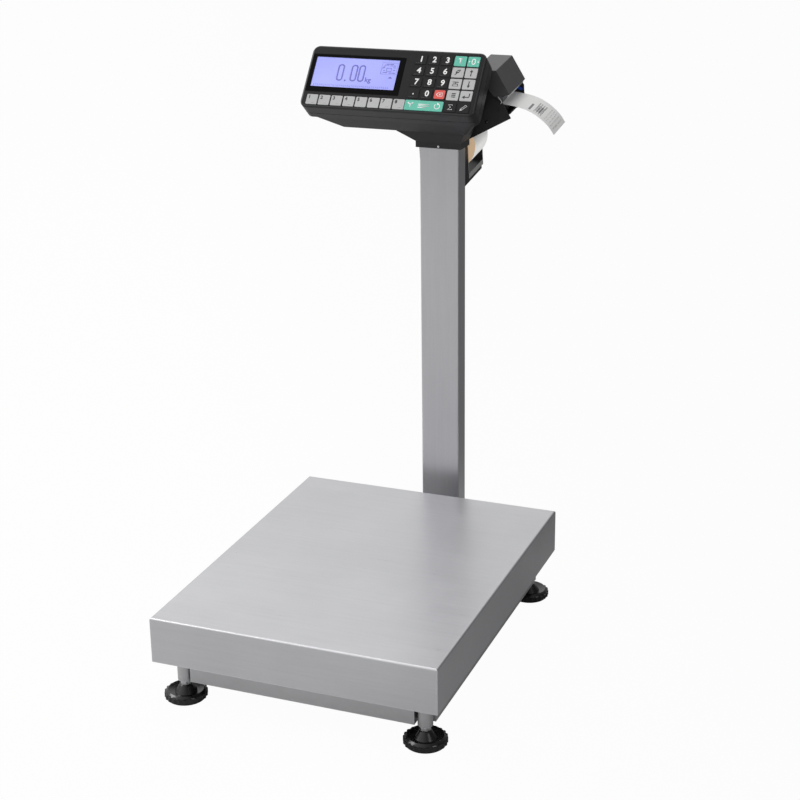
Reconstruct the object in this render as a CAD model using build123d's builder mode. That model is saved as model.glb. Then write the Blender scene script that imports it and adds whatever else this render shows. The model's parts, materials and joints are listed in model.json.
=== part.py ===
from build123d import *
import math
import os

# Label printing scale: a platform scale with a column, a terminal and a label printer.
# Frame: X to the right, Y to the back, Z up, in millimetres.
# Origin: on the floor, at the middle of the footprint.

# ------------------------------------------------------------------ driving dimensions
# Weighing platform
pan_width = 400.0
pan_depth = 510.0
pan_height = 64.0
pan_sheet = 1.5
pan_bend = 3.0
deck_height = 128.0

# Base frame of square tube, with a threaded socket at each corner
rail_bottom = 28.0
rail_height = 30.0
rail_width = 25.0
tube_wall = 2.0
frame_width = 364.0
frame_depth = 458.0
foot_x = 171.0
foot_y = 221.0
socket_radius = 10.0
socket_drop = 1.0
drain_radius = 4.0

# Upper frame and load cell
upper_width = 350.0
upper_depth = 460.0
upper_rail = 25.0
cell_length = 150.0
cell_width = 40.0
cell_height = 30.0
cell_bore_radius = 9.0
cell_bore_spacing = 34.0
cell_bolt_inset = 12.0
cell_bolt_pitch = 20.0
member_width = 50.0
spacer_height = 3.0
spacer_length = 45.0
bumper_radius = 11.0

# Levelling feet
foot_radius = 29.0
foot_height = 13.0
foot_flutes = 20
flute_radius = 2.2
stud_radius = 4.0
nut_flats = 13.0
nut_height = 6.5
hub_radius = 8.0
stud_reach = 28.0

# Column
column_width = 60.0
column_depth = 30.0
column_wall = 1.5
column_corner = 2.0
column_gap = 50.0
column_rise = 545.0
stub_height = 100.0
stub_wall = 3.0

# Terminal, its face leaning back
face_width = 266.0
face_height = 99.5
face_left = -192.0
face_y = 242.5
face_rise = 581.8
face_lean = 38.0
case_wall = 3.0
case_corner = 11.0
case_edge = 2.8
front_depth = 31.0
rear_depth = 29.0
seam_place = 19.0
seam_size = 1.0
rear_wall = 2.5
rear_inset = 3.0
rear_left_slope = 39.0
rear_right_slope = 19.0
rear_back_height = 30.0
neck_height = 45.0
neck_left = 88.0
neck_right = 22.0
neck_front = 15.5
collar_rise = 521.0
collar_height = 9.0
collar_wall = 4.5
set_screw_rise = 2.5
set_screw_depth = 0.6
boss_inset = 7.5
boss_radius = 4.0

# Display and keypad
film_margin = 3.0
film_corner = 5.0
film_thickness = 0.5
screen_x = 74.2
screen_y = 57.4
screen_width = 128.5
screen_height = 47.5
screen_bezel = 4.0
display_thickness = 7.0
key_width = 17.8
key_height = 15.8
key_corner = 1.5
key_proud = 0.6
key_thickness = 1.4
key_travel = 0.5
stem_radius = 2.0
quick_first = 18.0
quick_pitch = 19.07
pad_first = 169.6
pad_pitch = 19.7
bottom_row = 12.2
second_row = 30.8
row_pitch = 17.9
board_depth = 12.0
board_thickness = 1.6
switch_size = 6.0
switch_height = 5.0

# Label printer behind the terminal, tilted so that its axis rises to the back
module_y = 339.0
module_rise = 620.0
module_tilt = 8.0
module_inner = 68.0
plate = 2.0
cover_skin = 2.0
cover_side = 1.5
cover_top = 11.2
cover_left = 42.0
cover_bend = 75.3
cover_lip_x = 94.3
cover_lip_y = -23.2
hinge_x = 47.0
hinge_y = 3.0
hinge_radius = 2.0
platen_x = 76.0
platen_y = -48.3
platen_radius = 8.0
platen_shaft = 3.0
head_pivot_x = 66.0
head_pivot_y = -20.0
pin_radius = 2.0
lever_x = 74.0
lever_y = -33.0
lever_lean = 23.0
lever_length = 17.0
nose_x = 94.2
nose_y = -59.4
foot_edge_x = 40.0
foot_edge_y = -88.9
floor_rise = 9.0
bracket_bottom = 456.0
bracket_top = 515.0
bracket_screw_inset = 14.0
bracket_lip = 2.0
shelf_reach = 60.0

# Labels
label_width = 58.0
label_thickness = 0.3
roll_radius = 40.0
roll_core = 20.0
roll_x = -4.0
roll_y = -106.0
tray_right = 26.0
tray_sheet = 1.5
tray_flange = 8.0
tray_gap = 1.0

# Fasteners and the load cell's cable
bolt_radius = 4.0
screw_radius = 1.5
plate_screw_radius = 2.5
cable_radius = 2.5

# Clearances
running = 0.05
slip = 0.3
loose = 0.2
rest_gap = 0.1

# ------------------------------------------------------------------ derived places
tilt_cos = math.cos(math.radians(module_tilt))
tilt_sin = math.sin(math.radians(module_tilt))
lean_cos = math.cos(math.radians(face_lean))
lean_sin = math.sin(math.radians(face_lean))

module_width = module_inner + 2 * plate
tray_floor = roll_y - roll_radius - tray_sheet - 1.5
roll_start = (module_width - label_width) / 2
tray_rear = roll_start + label_width + tray_gap + tray_sheet
rear_reach = module_y + tray_rear * tilt_cos - (tray_floor - tray_flange) * tilt_sin
deck_y = -(rear_reach - pan_depth / 2) / 2

rail_top = rail_bottom + rail_height
socket_bottom = rail_bottom - socket_drop
rail_x = (frame_width - rail_width) / 2
rail_y = (frame_depth - rail_width) / 2
cell_bottom = rail_top + spacer_height
cell_top = cell_bottom + cell_height
upper_bottom = cell_top + spacer_height
upper_top = upper_bottom + upper_rail
pan_underside = deck_height - pan_sheet
upper_x = (upper_width - upper_rail) / 2
upper_y = (upper_depth - upper_rail) / 2
member_y = cell_length / 2 - member_width / 2 + 10.0
bolt_places = [cell_length / 2 - cell_bolt_inset, cell_length / 2 - cell_bolt_inset - cell_bolt_pitch]

column_y = pan_depth / 2 + column_gap + column_depth / 2
column_back = column_y + column_depth / 2
column_top = deck_height + column_rise
collar_bottom = deck_height + collar_rise
collar_top = collar_bottom + collar_height
neck_top = collar_top + neck_height
stub_width = column_width - 2 * column_wall - 2 * loose
stub_depth = column_depth - 2 * column_wall - 2 * loose

nut_top = socket_bottom - rest_gap
nut_bottom = nut_top - nut_height
hub_top = nut_bottom - rest_gap

board_front = board_depth
board_back = board_depth + board_thickness
stem_end = board_front - switch_height - key_travel - rest_gap
key_back = key_thickness - key_proud
pocket_floor = key_back + key_travel + rest_gap

face_plane = Plane(
    origin=(face_left, deck_y + face_y, deck_height + face_rise),
    x_dir=(1, 0, 0),
    z_dir=(0, -lean_cos, lean_sin),
)
module_plane = Plane(
    origin=(0, deck_y + module_y, deck_height + module_rise),
    x_dir=(1, 0, 0),
    z_dir=(0, -tilt_cos, -tilt_sin),
)


def level(z):
    """Horizontal plane at height z, centred under the platform."""
    return Plane(origin=(0, deck_y, z))


def face_at(depth):
    """Plane parallel to the terminal's face, that far behind it."""
    return face_plane.offset(-depth)


def module_at(distance):
    """Cross-section plane of the printer, that far behind its front plate."""
    return module_plane.offset(-distance)


def save(piece, name):
    """Label a finished piece and write it to its own file."""
    piece.part.label = name
    export_step(piece.part, f"parts/{name}.step")


os.makedirs("parts", exist_ok=True)

# ------------------------------------------------------------------ weighing platform
with BuildPart() as platform_pan:
    with BuildSketch(level(deck_height - pan_height)):
        Rectangle(pan_width, pan_depth)
    extrude(amount=pan_height)
    fillet(platform_pan.faces().sort_by(Axis.Z)[-1].edges(), radius=pan_bend)
    with BuildSketch(level(deck_height - pan_height)):
        Rectangle(pan_width - 2 * pan_sheet, pan_depth - 2 * pan_sheet)
    extrude(amount=pan_height - pan_sheet, mode=Mode.SUBTRACT)
save(platform_pan, "platform_pan")

with BuildPart() as pan_bumpers:
    with BuildSketch(level(upper_top)):
        with GridLocations(2 * upper_x, 2 * upper_y - upper_rail, 2, 2):
            Circle(bumper_radius)
    extrude(amount=pan_underside - upper_top)
    chamfer(pan_bumpers.edges().filter_by(GeomType.CIRCLE).group_by(Axis.Z)[-1], length=1.0)
save(pan_bumpers, "pan_bumpers")


def tube_members(members, bottom, height):
    """Weld boxes of rectangular tube: each member is its centre and its two lengths."""
    for x, y, width, depth in members:
        with BuildSketch(level(bottom)) as outside:
            with Locations((x, y)):
                Rectangle(width, depth)
        extrude(outside.sketch, amount=height)
    for x, y, width, depth in members:
        with BuildSketch(level(bottom + tube_wall)) as inside:
            with Locations((x, y)):
                Rectangle(width - 2 * tube_wall, depth - 2 * tube_wall)
        extrude(inside.sketch, amount=height - 2 * tube_wall, mode=Mode.SUBTRACT)


upper_members = [
    (-upper_x, 0, upper_rail, upper_depth),
    (upper_x, 0, upper_rail, upper_depth),
    (0, -upper_y, upper_width - 2 * upper_rail + 2 * tube_wall, upper_rail),
    (0, upper_y, upper_width - 2 * upper_rail + 2 * tube_wall, upper_rail),
    (0, -member_y, upper_width - 2 * upper_rail + 2 * tube_wall, member_width),
]
with BuildPart() as upper_frame:
    tube_members(upper_members, upper_bottom, upper_rail)
    with BuildSketch(level(cell_top)):
        with Locations((0, -(cell_length - spacer_length) / 2)):
            Rectangle(cell_width, spacer_length)
    extrude(amount=spacer_height + tube_wall)
    with BuildSketch(level(cell_top)):
        with Locations([(0, -place) for place in bolt_places]):
            Circle(bolt_radius + loose)
    extrude(amount=upper_top - cell_top, mode=Mode.SUBTRACT)
save(upper_frame, "upper_frame")

with BuildPart() as load_cell:
    cell_side = Plane(
        origin=(-cell_width / 2, deck_y, cell_bottom + cell_height / 2), x_dir=(0, 1, 0), z_dir=(1, 0, 0)
    )
    with BuildSketch(cell_side):
        Rectangle(cell_length, cell_height)
        with GridLocations(cell_bore_spacing, 0, 2, 1):
            Circle(cell_bore_radius, mode=Mode.SUBTRACT)
        Rectangle(cell_bore_spacing, cell_bore_radius, mode=Mode.SUBTRACT)
    extrude(amount=cell_width)
    with BuildSketch(level(cell_bottom)):
        with Locations([(0, place) for place in bolt_places] + [(0, -place) for place in bolt_places]):
            Circle(bolt_radius + loose)
    extrude(amount=cell_height, mode=Mode.SUBTRACT)
save(load_cell, "load_cell")

# ------------------------------------------------------------------ base frame
beam_depth = column_back + plate - (frame_depth / 2 - tube_wall)
beam_y = frame_depth / 2 - tube_wall + beam_depth / 2
cable_x = 20.0
cable_column_y = column_y - 4.0
cable_low = rail_bottom + rail_height / 2
base_members = [
    (-rail_x, 0, rail_width, 2 * (foot_y - socket_radius + 1.0)),
    (rail_x, 0, rail_width, 2 * (foot_y - socket_radius + 1.0)),
    (0, -rail_y, frame_width - 2 * rail_width + 2 * tube_wall, rail_width),
    (0, rail_y, frame_width - 2 * rail_width + 2 * tube_wall, rail_width),
    (0, member_y, frame_width - 2 * rail_width + 2 * tube_wall, member_width),
    (0, beam_y, column_width, beam_depth),
]
with BuildPart() as base_frame:
    tube_members(base_members, rail_bottom, rail_height)
    with BuildSketch(level(socket_bottom)):
        with GridLocations(2 * foot_x, 2 * foot_y, 2, 2):
            Circle(socket_radius)
    extrude(amount=rail_top - socket_bottom)
    with BuildSketch(level(socket_bottom)):
        with GridLocations(2 * foot_x, 2 * foot_y, 2, 2):
            Circle(stud_radius + running)
    extrude(amount=rail_top - socket_bottom, mode=Mode.SUBTRACT)
    with BuildSketch(level(rail_top - tube_wall)):
        with Locations((0, (cell_length - spacer_length) / 2)):
            Rectangle(cell_width, spacer_length)
    extrude(amount=spacer_height + tube_wall)
    with BuildSketch(level(rail_bottom)):
        with Locations([(0, place) for place in bolt_places]):
            Circle(bolt_radius + loose)
    extrude(amount=cell_bottom - rail_bottom, mode=Mode.SUBTRACT)
    with BuildSketch(level(rail_top)):
        with Locations((0, column_y)):
            Rectangle(stub_width, stub_depth)
    extrude(amount=stub_height)
    with BuildSketch(level(rail_top - tube_wall)):
        with Locations((0, column_y)):
            Rectangle(stub_width - 2 * stub_wall, stub_depth - 2 * stub_wall)
    extrude(amount=stub_height + tube_wall, mode=Mode.SUBTRACT)
    with BuildSketch(level(rail_top - tube_wall)):
        with Locations((cable_x, rail_y)):
            Circle(cable_radius + 2.0)
    extrude(amount=tube_wall, mode=Mode.SUBTRACT)
    with BuildSketch(level(cable_low - cable_radius - 2.0)):
        with Locations((cable_x, frame_depth / 2 - tube_wall)):
            Rectangle(4 * cable_radius, 4 * tube_wall)
    extrude(amount=2 * cable_radius + 4.0, mode=Mode.SUBTRACT)
    with BuildSketch(level(rail_bottom)):
        with GridLocations(2 * rail_x, rail_y, 2, 2):
            Circle(drain_radius)
        with GridLocations(rail_y, 2 * rail_y, 2, 2):
            Circle(drain_radius)
        with Locations((0, beam_y), (-rail_x / 2, member_y), (rail_x / 2, member_y)):
            Circle(drain_radius)
    extrude(amount=tube_wall, mode=Mode.SUBTRACT)
    stub_screws = [rail_top + 30.0, rail_top + 70.0]
    for height in stub_screws:
        with BuildSketch(Plane(origin=(0, deck_y + column_back, height), x_dir=(-1, 0, 0), z_dir=(0, 1, 0))):
            Circle(plate_screw_radius + loose)
        extrude(amount=-(column_wall + loose + stub_wall + 1.0), mode=Mode.SUBTRACT)
save(base_frame, "base_frame")

# ------------------------------------------------------------------ levelling feet
foot_corners = {
    "front_left": (-foot_x, -foot_y),
    "front_right": (foot_x, -foot_y),
    "rear_left": (-foot_x, foot_y),
    "rear_right": (foot_x, foot_y),
}
for corner, (foot_at_x, foot_at_y) in foot_corners.items():
    with BuildPart() as foot:
        axis_plane = Plane(origin=(foot_at_x, deck_y + foot_at_y, 0), x_dir=(1, 0, 0), z_dir=(0, -1, 0))
        with BuildSketch(axis_plane):
            with BuildLine():
                Polyline(
                    (0, 0),
                    (foot_radius - 3.0, 0),
                    (foot_radius, 3.0),
                    (foot_radius, foot_height - 5.0),
                    (foot_radius - 5.0, foot_height - 0.5),
                    (foot_radius - 9.0, foot_height - 2.0),
                    (hub_radius + 7.0, foot_height - 3.5),
                    (hub_radius, hub_top - 1.0),
                    (hub_radius - 1.0, hub_top),
                    (stud_radius, hub_top),
                    (stud_radius, hub_top + stud_reach),
                    (stud_radius - 1.0, hub_top + stud_reach + 1.0),
                    (0, hub_top + stud_reach + 1.0),
                    close=True,
                )
            make_face()
        revolve(axis=Axis((foot_at_x, deck_y + foot_at_y, 0), (0, 0, 1)))
        with BuildSketch(Plane(origin=(foot_at_x, deck_y + foot_at_y, 0))):
            with PolarLocations(foot_radius + 0.6, foot_flutes):
                Circle(flute_radius)
        extrude(amount=foot_height, mode=Mode.SUBTRACT)
    save(foot, f"foot_{corner}")
    with BuildPart() as lock_nut:
        with BuildSketch(Plane(origin=(foot_at_x, deck_y + foot_at_y, nut_bottom))):
            RegularPolygon(nut_flats / 2, 6, major_radius=False)
            Circle(stud_radius + running, mode=Mode.SUBTRACT)
        extrude(amount=nut_height)
    save(lock_nut, f"lock_nut_{corner}")

# ------------------------------------------------------------------ column
plate_bottom = deck_height + bracket_bottom
plate_top = deck_height + bracket_top
plate_screws = [plate_bottom + bracket_screw_inset, plate_top - bracket_screw_inset]
with BuildPart() as column:
    with BuildSketch(level(rail_top)):
        with Locations((0, column_y)):
            RectangleRounded(column_width, column_depth, column_corner)
            Rectangle(column_width - 2 * column_wall, column_depth - 2 * column_wall, mode=Mode.SUBTRACT)
    extrude(amount=column_top - rail_top)
    for height in stub_screws + plate_screws:
        with BuildSketch(Plane(origin=(0, deck_y + column_back, height), x_dir=(-1, 0, 0), z_dir=(0, 1, 0))):
            Circle(plate_screw_radius + loose)
        extrude(amount=-column_wall - loose, mode=Mode.SUBTRACT)
save(column, "column")

# ------------------------------------------------------------------ terminal: keys and their places
rows = [second_row + row_pitch * index for index in range(4)]
columns = [pad_first + pad_pitch * index for index in range(5)]
pad_names = [
    ["key_point", "key_num_0", "key_delete", "key_lookup", "key_enter"],
    ["key_num_7", "key_num_8", "key_num_9", "key_net", "key_down"],
    ["key_num_4", "key_num_5", "key_num_6", "key_percent", "key_up"],
    ["key_num_1", "key_num_2", "key_num_3", "key_tare", "key_zero"],
]
menu_width = 2 * pad_pitch + key_width
key_places = {}
for index in range(8):
    key_places[f"key_quick_{index + 1}"] = (quick_first + quick_pitch * index, bottom_row, key_width - 0.6)
key_places["key_menu"] = (columns[1], bottom_row, menu_width)
key_places["key_sum"] = (columns[3], bottom_row, key_width)
key_places["key_edit"] = (columns[4], bottom_row, key_width)
for row, names in zip(rows, pad_names):
    for key_x, name in zip(columns, names):
        key_places[name] = (key_x, row, key_width)

for name, (key_x, key_y, width) in key_places.items():
    with BuildPart() as key:
        with BuildSketch(face_at(key_back)):
            with Locations((key_x, key_y)):
                RectangleRounded(width, key_height, key_corner)
        extrude(amount=key_thickness)
        chamfer(key.faces().sort_by(Axis(face_plane.origin, face_plane.z_dir))[-1].edges(), length=0.3)
        with BuildSketch(face_at(stem_end)):
            with Locations((key_x, key_y)):
                Circle(stem_radius)
        extrude(amount=stem_end - key_back)
    save(key, name)

boss_places = [
    (boss_inset, boss_inset),
    (face_width - boss_inset, boss_inset),
    (boss_inset, face_height - boss_inset),
    (face_width - boss_inset, face_height - boss_inset),
]
# Sockets along the board's left edge: height up the face, width and depth of each body
serial_socket = (62.0, 31.0, 12.5)
network_socket = (32.0, 16.0, 13.5)
power_socket = (17.0, 9.0, 11.0)
sockets = [serial_socket, network_socket, power_socket]
socket_length = 16.0

with BuildPart() as front_case:
    with BuildSketch(face_at(front_depth)):
        with Locations((face_width / 2, face_height / 2)):
            RectangleRounded(face_width, face_height, case_corner)
    extrude(amount=front_depth)
    fillet(front_case.faces().sort_by(Axis(face_plane.origin, face_plane.z_dir))[-1].edges(), radius=case_edge)
    with BuildSketch(face_at(seam_place)):
        with Locations((face_width / 2, face_height / 2)):
            Rectangle(face_width + 2 * seam_size, face_height + 2 * seam_size)
            RectangleRounded(
                face_width - 2 * seam_size, face_height - 2 * seam_size, case_corner - seam_size, mode=Mode.SUBTRACT
            )
    extrude(amount=-seam_size, mode=Mode.SUBTRACT)
    with BuildSketch(face_at(front_depth)):
        with Locations((face_width / 2, face_height / 2)):
            RectangleRounded(face_width - 2 * case_wall, face_height - 2 * case_wall, case_corner - case_wall)
    extrude(amount=front_depth - case_wall, mode=Mode.SUBTRACT)
    with BuildSketch(face_at(front_depth)):
        with Locations(boss_places):
            Circle(boss_radius)
    extrude(amount=front_depth - case_wall)
    with BuildSketch(face_at(front_depth)):
        with Locations(boss_places):
            Circle(screw_radius + rest_gap)
    extrude(amount=20.0, mode=Mode.SUBTRACT)
    with BuildSketch(face_at(film_thickness)):
        with Locations((face_width / 2, face_height / 2)):
            RectangleRounded(face_width - 2 * film_margin, face_height - 2 * film_margin, film_corner)
    extrude(amount=film_thickness, mode=Mode.SUBTRACT)
    with BuildSketch(face_at(case_wall)):
        with Locations((screen_x, screen_y)):
            Rectangle(screen_width + 2 * loose, screen_height + 2 * loose)
    extrude(amount=case_wall, mode=Mode.SUBTRACT)
    for key_x, key_y, width in key_places.values():
        with BuildSketch(face_at(pocket_floor)):
            with Locations((key_x, key_y)):
                RectangleRounded(width + 2 * slip, key_height + 2 * slip, key_corner)
        extrude(amount=pocket_floor, mode=Mode.SUBTRACT)
        with BuildSketch(face_at(case_wall)):
            with Locations((key_x, key_y)):
                Circle(stem_radius + slip)
        extrude(amount=case_wall, mode=Mode.SUBTRACT)
    for socket_y, socket_width, socket_depth in sockets:
        with BuildSketch(face_at(board_back + socket_depth + loose)):
            with Locations((case_wall / 2, socket_y)):
                Rectangle(case_wall, socket_width + 2 * loose)
        extrude(amount=socket_depth + loose, mode=Mode.SUBTRACT)
save(front_case, "front_case")

with BuildPart() as keypad_film:
    with BuildSketch(face_at(film_thickness)):
        with Locations((face_width / 2, face_height / 2)):
            RectangleRounded(
                face_width - 2 * (film_margin + loose), face_height - 2 * (film_margin + loose), film_corner
            )
        with Locations((screen_x, screen_y)):
            Rectangle(screen_width, screen_height, mode=Mode.SUBTRACT)
        for key_x, key_y, width in key_places.values():
            with Locations((key_x, key_y)):
                RectangleRounded(width + 2 * slip, key_height + 2 * slip, key_corner, mode=Mode.SUBTRACT)
    extrude(amount=film_thickness)
save(keypad_film, "keypad_film")

with BuildPart() as display_module:
    with BuildSketch(face_at(case_wall + display_thickness)):
        with Locations((screen_x, screen_y)):
            Rectangle(screen_width + 2 * screen_bezel, screen_height + 2 * screen_bezel)
    extrude(amount=display_thickness)
    with BuildSketch(face_at(case_wall)):
        with Locations((screen_x, screen_y)):
            Rectangle(screen_width, screen_height)
    extrude(amount=case_wall - film_thickness)
save(display_module, "display_module")

plug_height = 6.0
cable_face_y = 20.0
board_width = face_width - 2 * (boss_inset + boss_radius + 1.5)
with BuildPart() as main_board:
    with BuildSketch(face_at(board_back)):
        with Locations((face_width / 2, face_height / 2)):
            Rectangle(board_width, face_height - 2 * (case_wall + 4.0))
    extrude(amount=board_thickness)
    with BuildSketch(face_at(board_front)):
        for key_x, key_y, width in key_places.values():
            with Locations((key_x, key_y)):
                Rectangle(switch_size, switch_size)
    extrude(amount=switch_height)
    for socket_y, socket_width, socket_depth in sockets:
        with BuildSketch(face_at(board_back)):
            with Locations((socket_length / 2 + loose, socket_y)):
                Rectangle(socket_length, socket_width)
        extrude(amount=-socket_depth)
    with BuildSketch(face_at(board_back)):
        with Locations((cable_x - face_left, cable_face_y)):
            Rectangle(3 * cable_radius, 3 * cable_radius)
    extrude(amount=-plug_height)
save(main_board, "main_board")


def rear_outline(depth, inset):
    """Rounded outline of the tapering rear case at a depth behind the face."""
    share = (depth - front_depth) / rear_depth
    left = rear_inset + rear_left_slope * share + inset
    right = face_width - rear_inset - rear_right_slope * share - inset
    low = 2.0 - share + inset
    high = face_height - 2.0 - (face_height - 2.0 - rear_back_height) * share - inset
    with BuildSketch(face_at(depth)) as outline:
        with Locations(((left + right) / 2, (low + high) / 2)):
            RectangleRounded(right - left, high - low, case_corner - 2.0 - inset / 2)
    return outline.sketch


def neck_outline(z, left, right, front, back):
    """Rectangular outline of the neck at a height; the sides are distances from the column's axis."""
    with BuildSketch(level(z)) as outline:
        with Locations(((right - left) / 2, column_y + (back - front) / 2)):
            Rectangle(left + right, front + back)
    return outline.sketch


collar_x = column_width / 2 + collar_wall
collar_y = column_depth / 2 + collar_wall
bore_x = column_width / 2 + slip
bore_y = column_depth / 2 + slip
with BuildPart() as rear_case:
    loft([rear_outline(front_depth, 0.0), rear_outline(front_depth + rear_depth, 0.0)])
    neck_foot = neck_outline(collar_top, collar_x, collar_x, collar_y, collar_y)
    neck_head = neck_outline(
        neck_top, collar_x + neck_left, collar_x + neck_right, collar_y + neck_front, collar_y
    )
    loft([neck_foot, neck_head])
    extrude(neck_outline(collar_bottom, collar_x, collar_x, collar_y, collar_y), amount=collar_height)
    inner_mouth = rear_outline(front_depth + rear_wall, rear_wall)
    inner_back = rear_outline(front_depth + rear_depth - rear_wall, rear_wall)
    loft([inner_mouth, inner_back], mode=Mode.SUBTRACT)
    bore_foot = neck_outline(collar_top, bore_x, bore_x, bore_y, bore_y)
    bore_head = neck_outline(
        neck_top - rear_wall,
        collar_x + neck_left - 2 * rear_wall,
        collar_x + neck_right - rear_wall,
        collar_y + neck_front - rear_wall,
        collar_y - rear_wall,
    )
    loft([bore_foot, bore_head], mode=Mode.SUBTRACT)
    bore = neck_outline(collar_bottom, bore_x, bore_x, bore_y, bore_y)
    extrude(bore, amount=collar_height, mode=Mode.SUBTRACT)
    with BuildSketch(face_at(front_depth + rear_wall)):
        with Locations((face_width / 2, face_height / 2)):
            Rectangle(face_width - 4 * (boss_inset + boss_radius), face_height - 4 * boss_inset)
    extrude(amount=rear_wall, mode=Mode.SUBTRACT)
    with BuildSketch(face_at(front_depth + rear_wall)):
        with Locations(boss_places):
            Circle(screw_radius + loose)
    extrude(amount=rear_wall, mode=Mode.SUBTRACT)
    with BuildSketch(face_at(front_depth + 1.5)):
        with Locations(boss_places):
            Circle(2 * screw_radius + loose)
    extrude(amount=-rear_depth / 2, mode=Mode.SUBTRACT)
    collar_front = Plane(
        origin=(0, deck_y + column_y - collar_y, collar_bottom + set_screw_rise),
        x_dir=(1, 0, 0),
        z_dir=(0, -1, 0),
    )
    with BuildSketch(collar_front):
        Circle(screw_radius + loose)
    extrude(amount=-collar_wall, mode=Mode.SUBTRACT)
save(rear_case, "rear_case")

# ------------------------------------------------------------------ label printer
plate_left = -30.0
edge_slope = (nose_y - foot_edge_y) / (nose_x - foot_edge_x)
plate_corner_y = foot_edge_y - (foot_edge_x - tray_right) * edge_slope
mouth_x = nose_x - 1.7
mouth_y = nose_y - 1.7 * edge_slope + floor_rise
heel_y = mouth_y - (mouth_x - foot_edge_x) * edge_slope
crown_outline = [
    (62.0, hinge_y),
    (hinge_x + 5.0, cover_top - cover_skin - 2.0),
    (hinge_x - 4.0, cover_top - cover_skin - 2.0),
    (hinge_x - 6.0, hinge_y),
    (hinge_x - 6.0, hinge_y - 15.0),
]
front_outline = [
    (tray_right, plate_corner_y),
    (nose_x, nose_y),
    (83.5, -38.4),
    (71.0, -31.0),
    (73.0, -26.0),
    *crown_outline,
    (plate_left + 20.0, -50.0),
    (plate_left, -68.0),
    (plate_left, tray_floor),
    (tray_right, tray_floor),
]
rear_plate_outline = [
    (tray_right, plate_corner_y),
    (nose_x, nose_y),
    (nose_x - 1.2, -42.0),
    (nose_x - 1.2, lever_y + 2.0),
    (88.0, -24.0),
    *crown_outline,
    (tray_right, -32.0),
]
shaft_holes = [
    (platen_x, platen_y, platen_shaft + running),
    (head_pivot_x, head_pivot_y, pin_radius + running),
]
slope_at = math.tan(math.radians(module_tilt))
shelf_top = tray_floor - tray_flange - rest_gap
shelf_front = (column_back - module_y + shelf_top * tilt_sin) / tilt_cos + plate / 2


def side_point(across, up):
    """Module place (distance behind the front plate, height) as a place seen from the side."""
    return (module_y + across * tilt_cos - up * tilt_sin, module_rise + up * tilt_cos + across * tilt_sin)


with BuildPart() as printer_chassis:
    for outline, start in ((front_outline, 0.0), (rear_plate_outline, plate + module_inner)):
        with BuildSketch(module_at(start)):
            with BuildLine():
                Polyline(*outline, close=True)
            make_face()
        extrude(amount=-plate)
    with BuildSketch(module_at(plate)):
        with BuildLine():
            Polyline(
                (foot_edge_x, heel_y),
                (mouth_x, mouth_y),
                (mouth_x + 1.0, mouth_y - 1.8),
                (foot_edge_x + 1.0, heel_y - 1.8),
                close=True,
            )
        make_face()
    extrude(amount=-module_inner)
    with BuildSketch(module_at(-cover_side - 1.1)):
        with Locations((hinge_x, hinge_y)):
            Circle(hinge_radius)
    extrude(amount=-(module_width + 2 * (cover_side + 1.1)))
    for hole_x, hole_y, radius in shaft_holes:
        with BuildSketch(module_at(0.0)):
            with Locations((hole_x, hole_y)):
                Circle(radius)
        extrude(amount=-module_width, mode=Mode.SUBTRACT)
    with BuildSketch(module_at(module_width - plate)):
        with Locations((lever_x, lever_y)):
            Circle(pin_radius + running)
    extrude(amount=-plate, mode=Mode.SUBTRACT)
    for side in (-1, 1):
        gusset_plane = Plane(
            origin=(side * (tray_right - plate / 2) - plate / 2, deck_y, deck_height),
            x_dir=(0, 1, 0),
            z_dir=(1, 0, 0),
        )
        with BuildSketch(gusset_plane):
            with BuildLine():
                Polyline(
                    (column_back, bracket_bottom),
                    (column_back, bracket_top),
                    (module_y + (module_rise - bracket_top) * slope_at + plate / 2, bracket_top),
                    side_point(plate / 2, shelf_top),
                    side_point(shelf_reach, shelf_top),
                    side_point(shelf_reach, shelf_top - plate - bracket_lip),
                    close=True,
                )
            make_face()
        extrude(amount=plate)
    with BuildSketch(module_at(shelf_front)):
        with Locations((0, shelf_top - plate / 2)):
            Rectangle(2 * tray_right, plate)
    extrude(amount=shelf_front - shelf_reach)
    with BuildSketch(Plane(origin=(0, deck_y + column_back, 0), x_dir=(-1, 0, 0), z_dir=(0, 1, 0))):
        with Locations((0, (plate_bottom + plate_top) / 2)):
            Rectangle(2 * tray_right, plate_top - plate_bottom)
        with Locations([(0, height) for height in plate_screws]):
            Circle(plate_screw_radius + loose, mode=Mode.SUBTRACT)
    extrude(amount=plate)
save(printer_chassis, "printer_chassis")

cover_skin_outline = [
    (cover_left, cover_top),
    (cover_bend, cover_top),
    (cover_lip_x, cover_lip_y),
    (cover_lip_x - 1.7, cover_lip_y - 1.1),
    (cover_bend - 1.1, cover_top - cover_skin),
    (cover_left, cover_top - cover_skin),
]
cover_end_outline = [
    (cover_left, cover_top),
    (cover_bend, cover_top),
    (cover_lip_x, cover_lip_y),
    (85.0, -26.0),
    (71.0, -27.5),
    (hinge_x + 6.0, hinge_y - 7.0),
    (cover_left, hinge_y - 5.0),
]
cover_front = -slip - cover_side
with BuildPart() as printer_cover:
    with BuildSketch(module_at(cover_front)):
        with BuildLine():
            Polyline(*cover_skin_outline, close=True)
        make_face()
    extrude(amount=-(module_width + 2 * (slip + cover_side)))
    for start in (cover_front, module_width + slip):
        with BuildSketch(module_at(start)):
            with BuildLine():
                Polyline(*cover_end_outline, close=True)
            make_face()
            with Locations((hinge_x, hinge_y)):
                Circle(hinge_radius + running, mode=Mode.SUBTRACT)
        extrude(amount=-cover_side)
    bend_edges = printer_cover.edges().filter_by(Axis(module_plane.origin, module_plane.z_dir))
    fillet(bend_edges.sort_by(Axis.Z)[-2:], radius=1.5)
save(printer_cover, "printer_cover")

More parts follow.
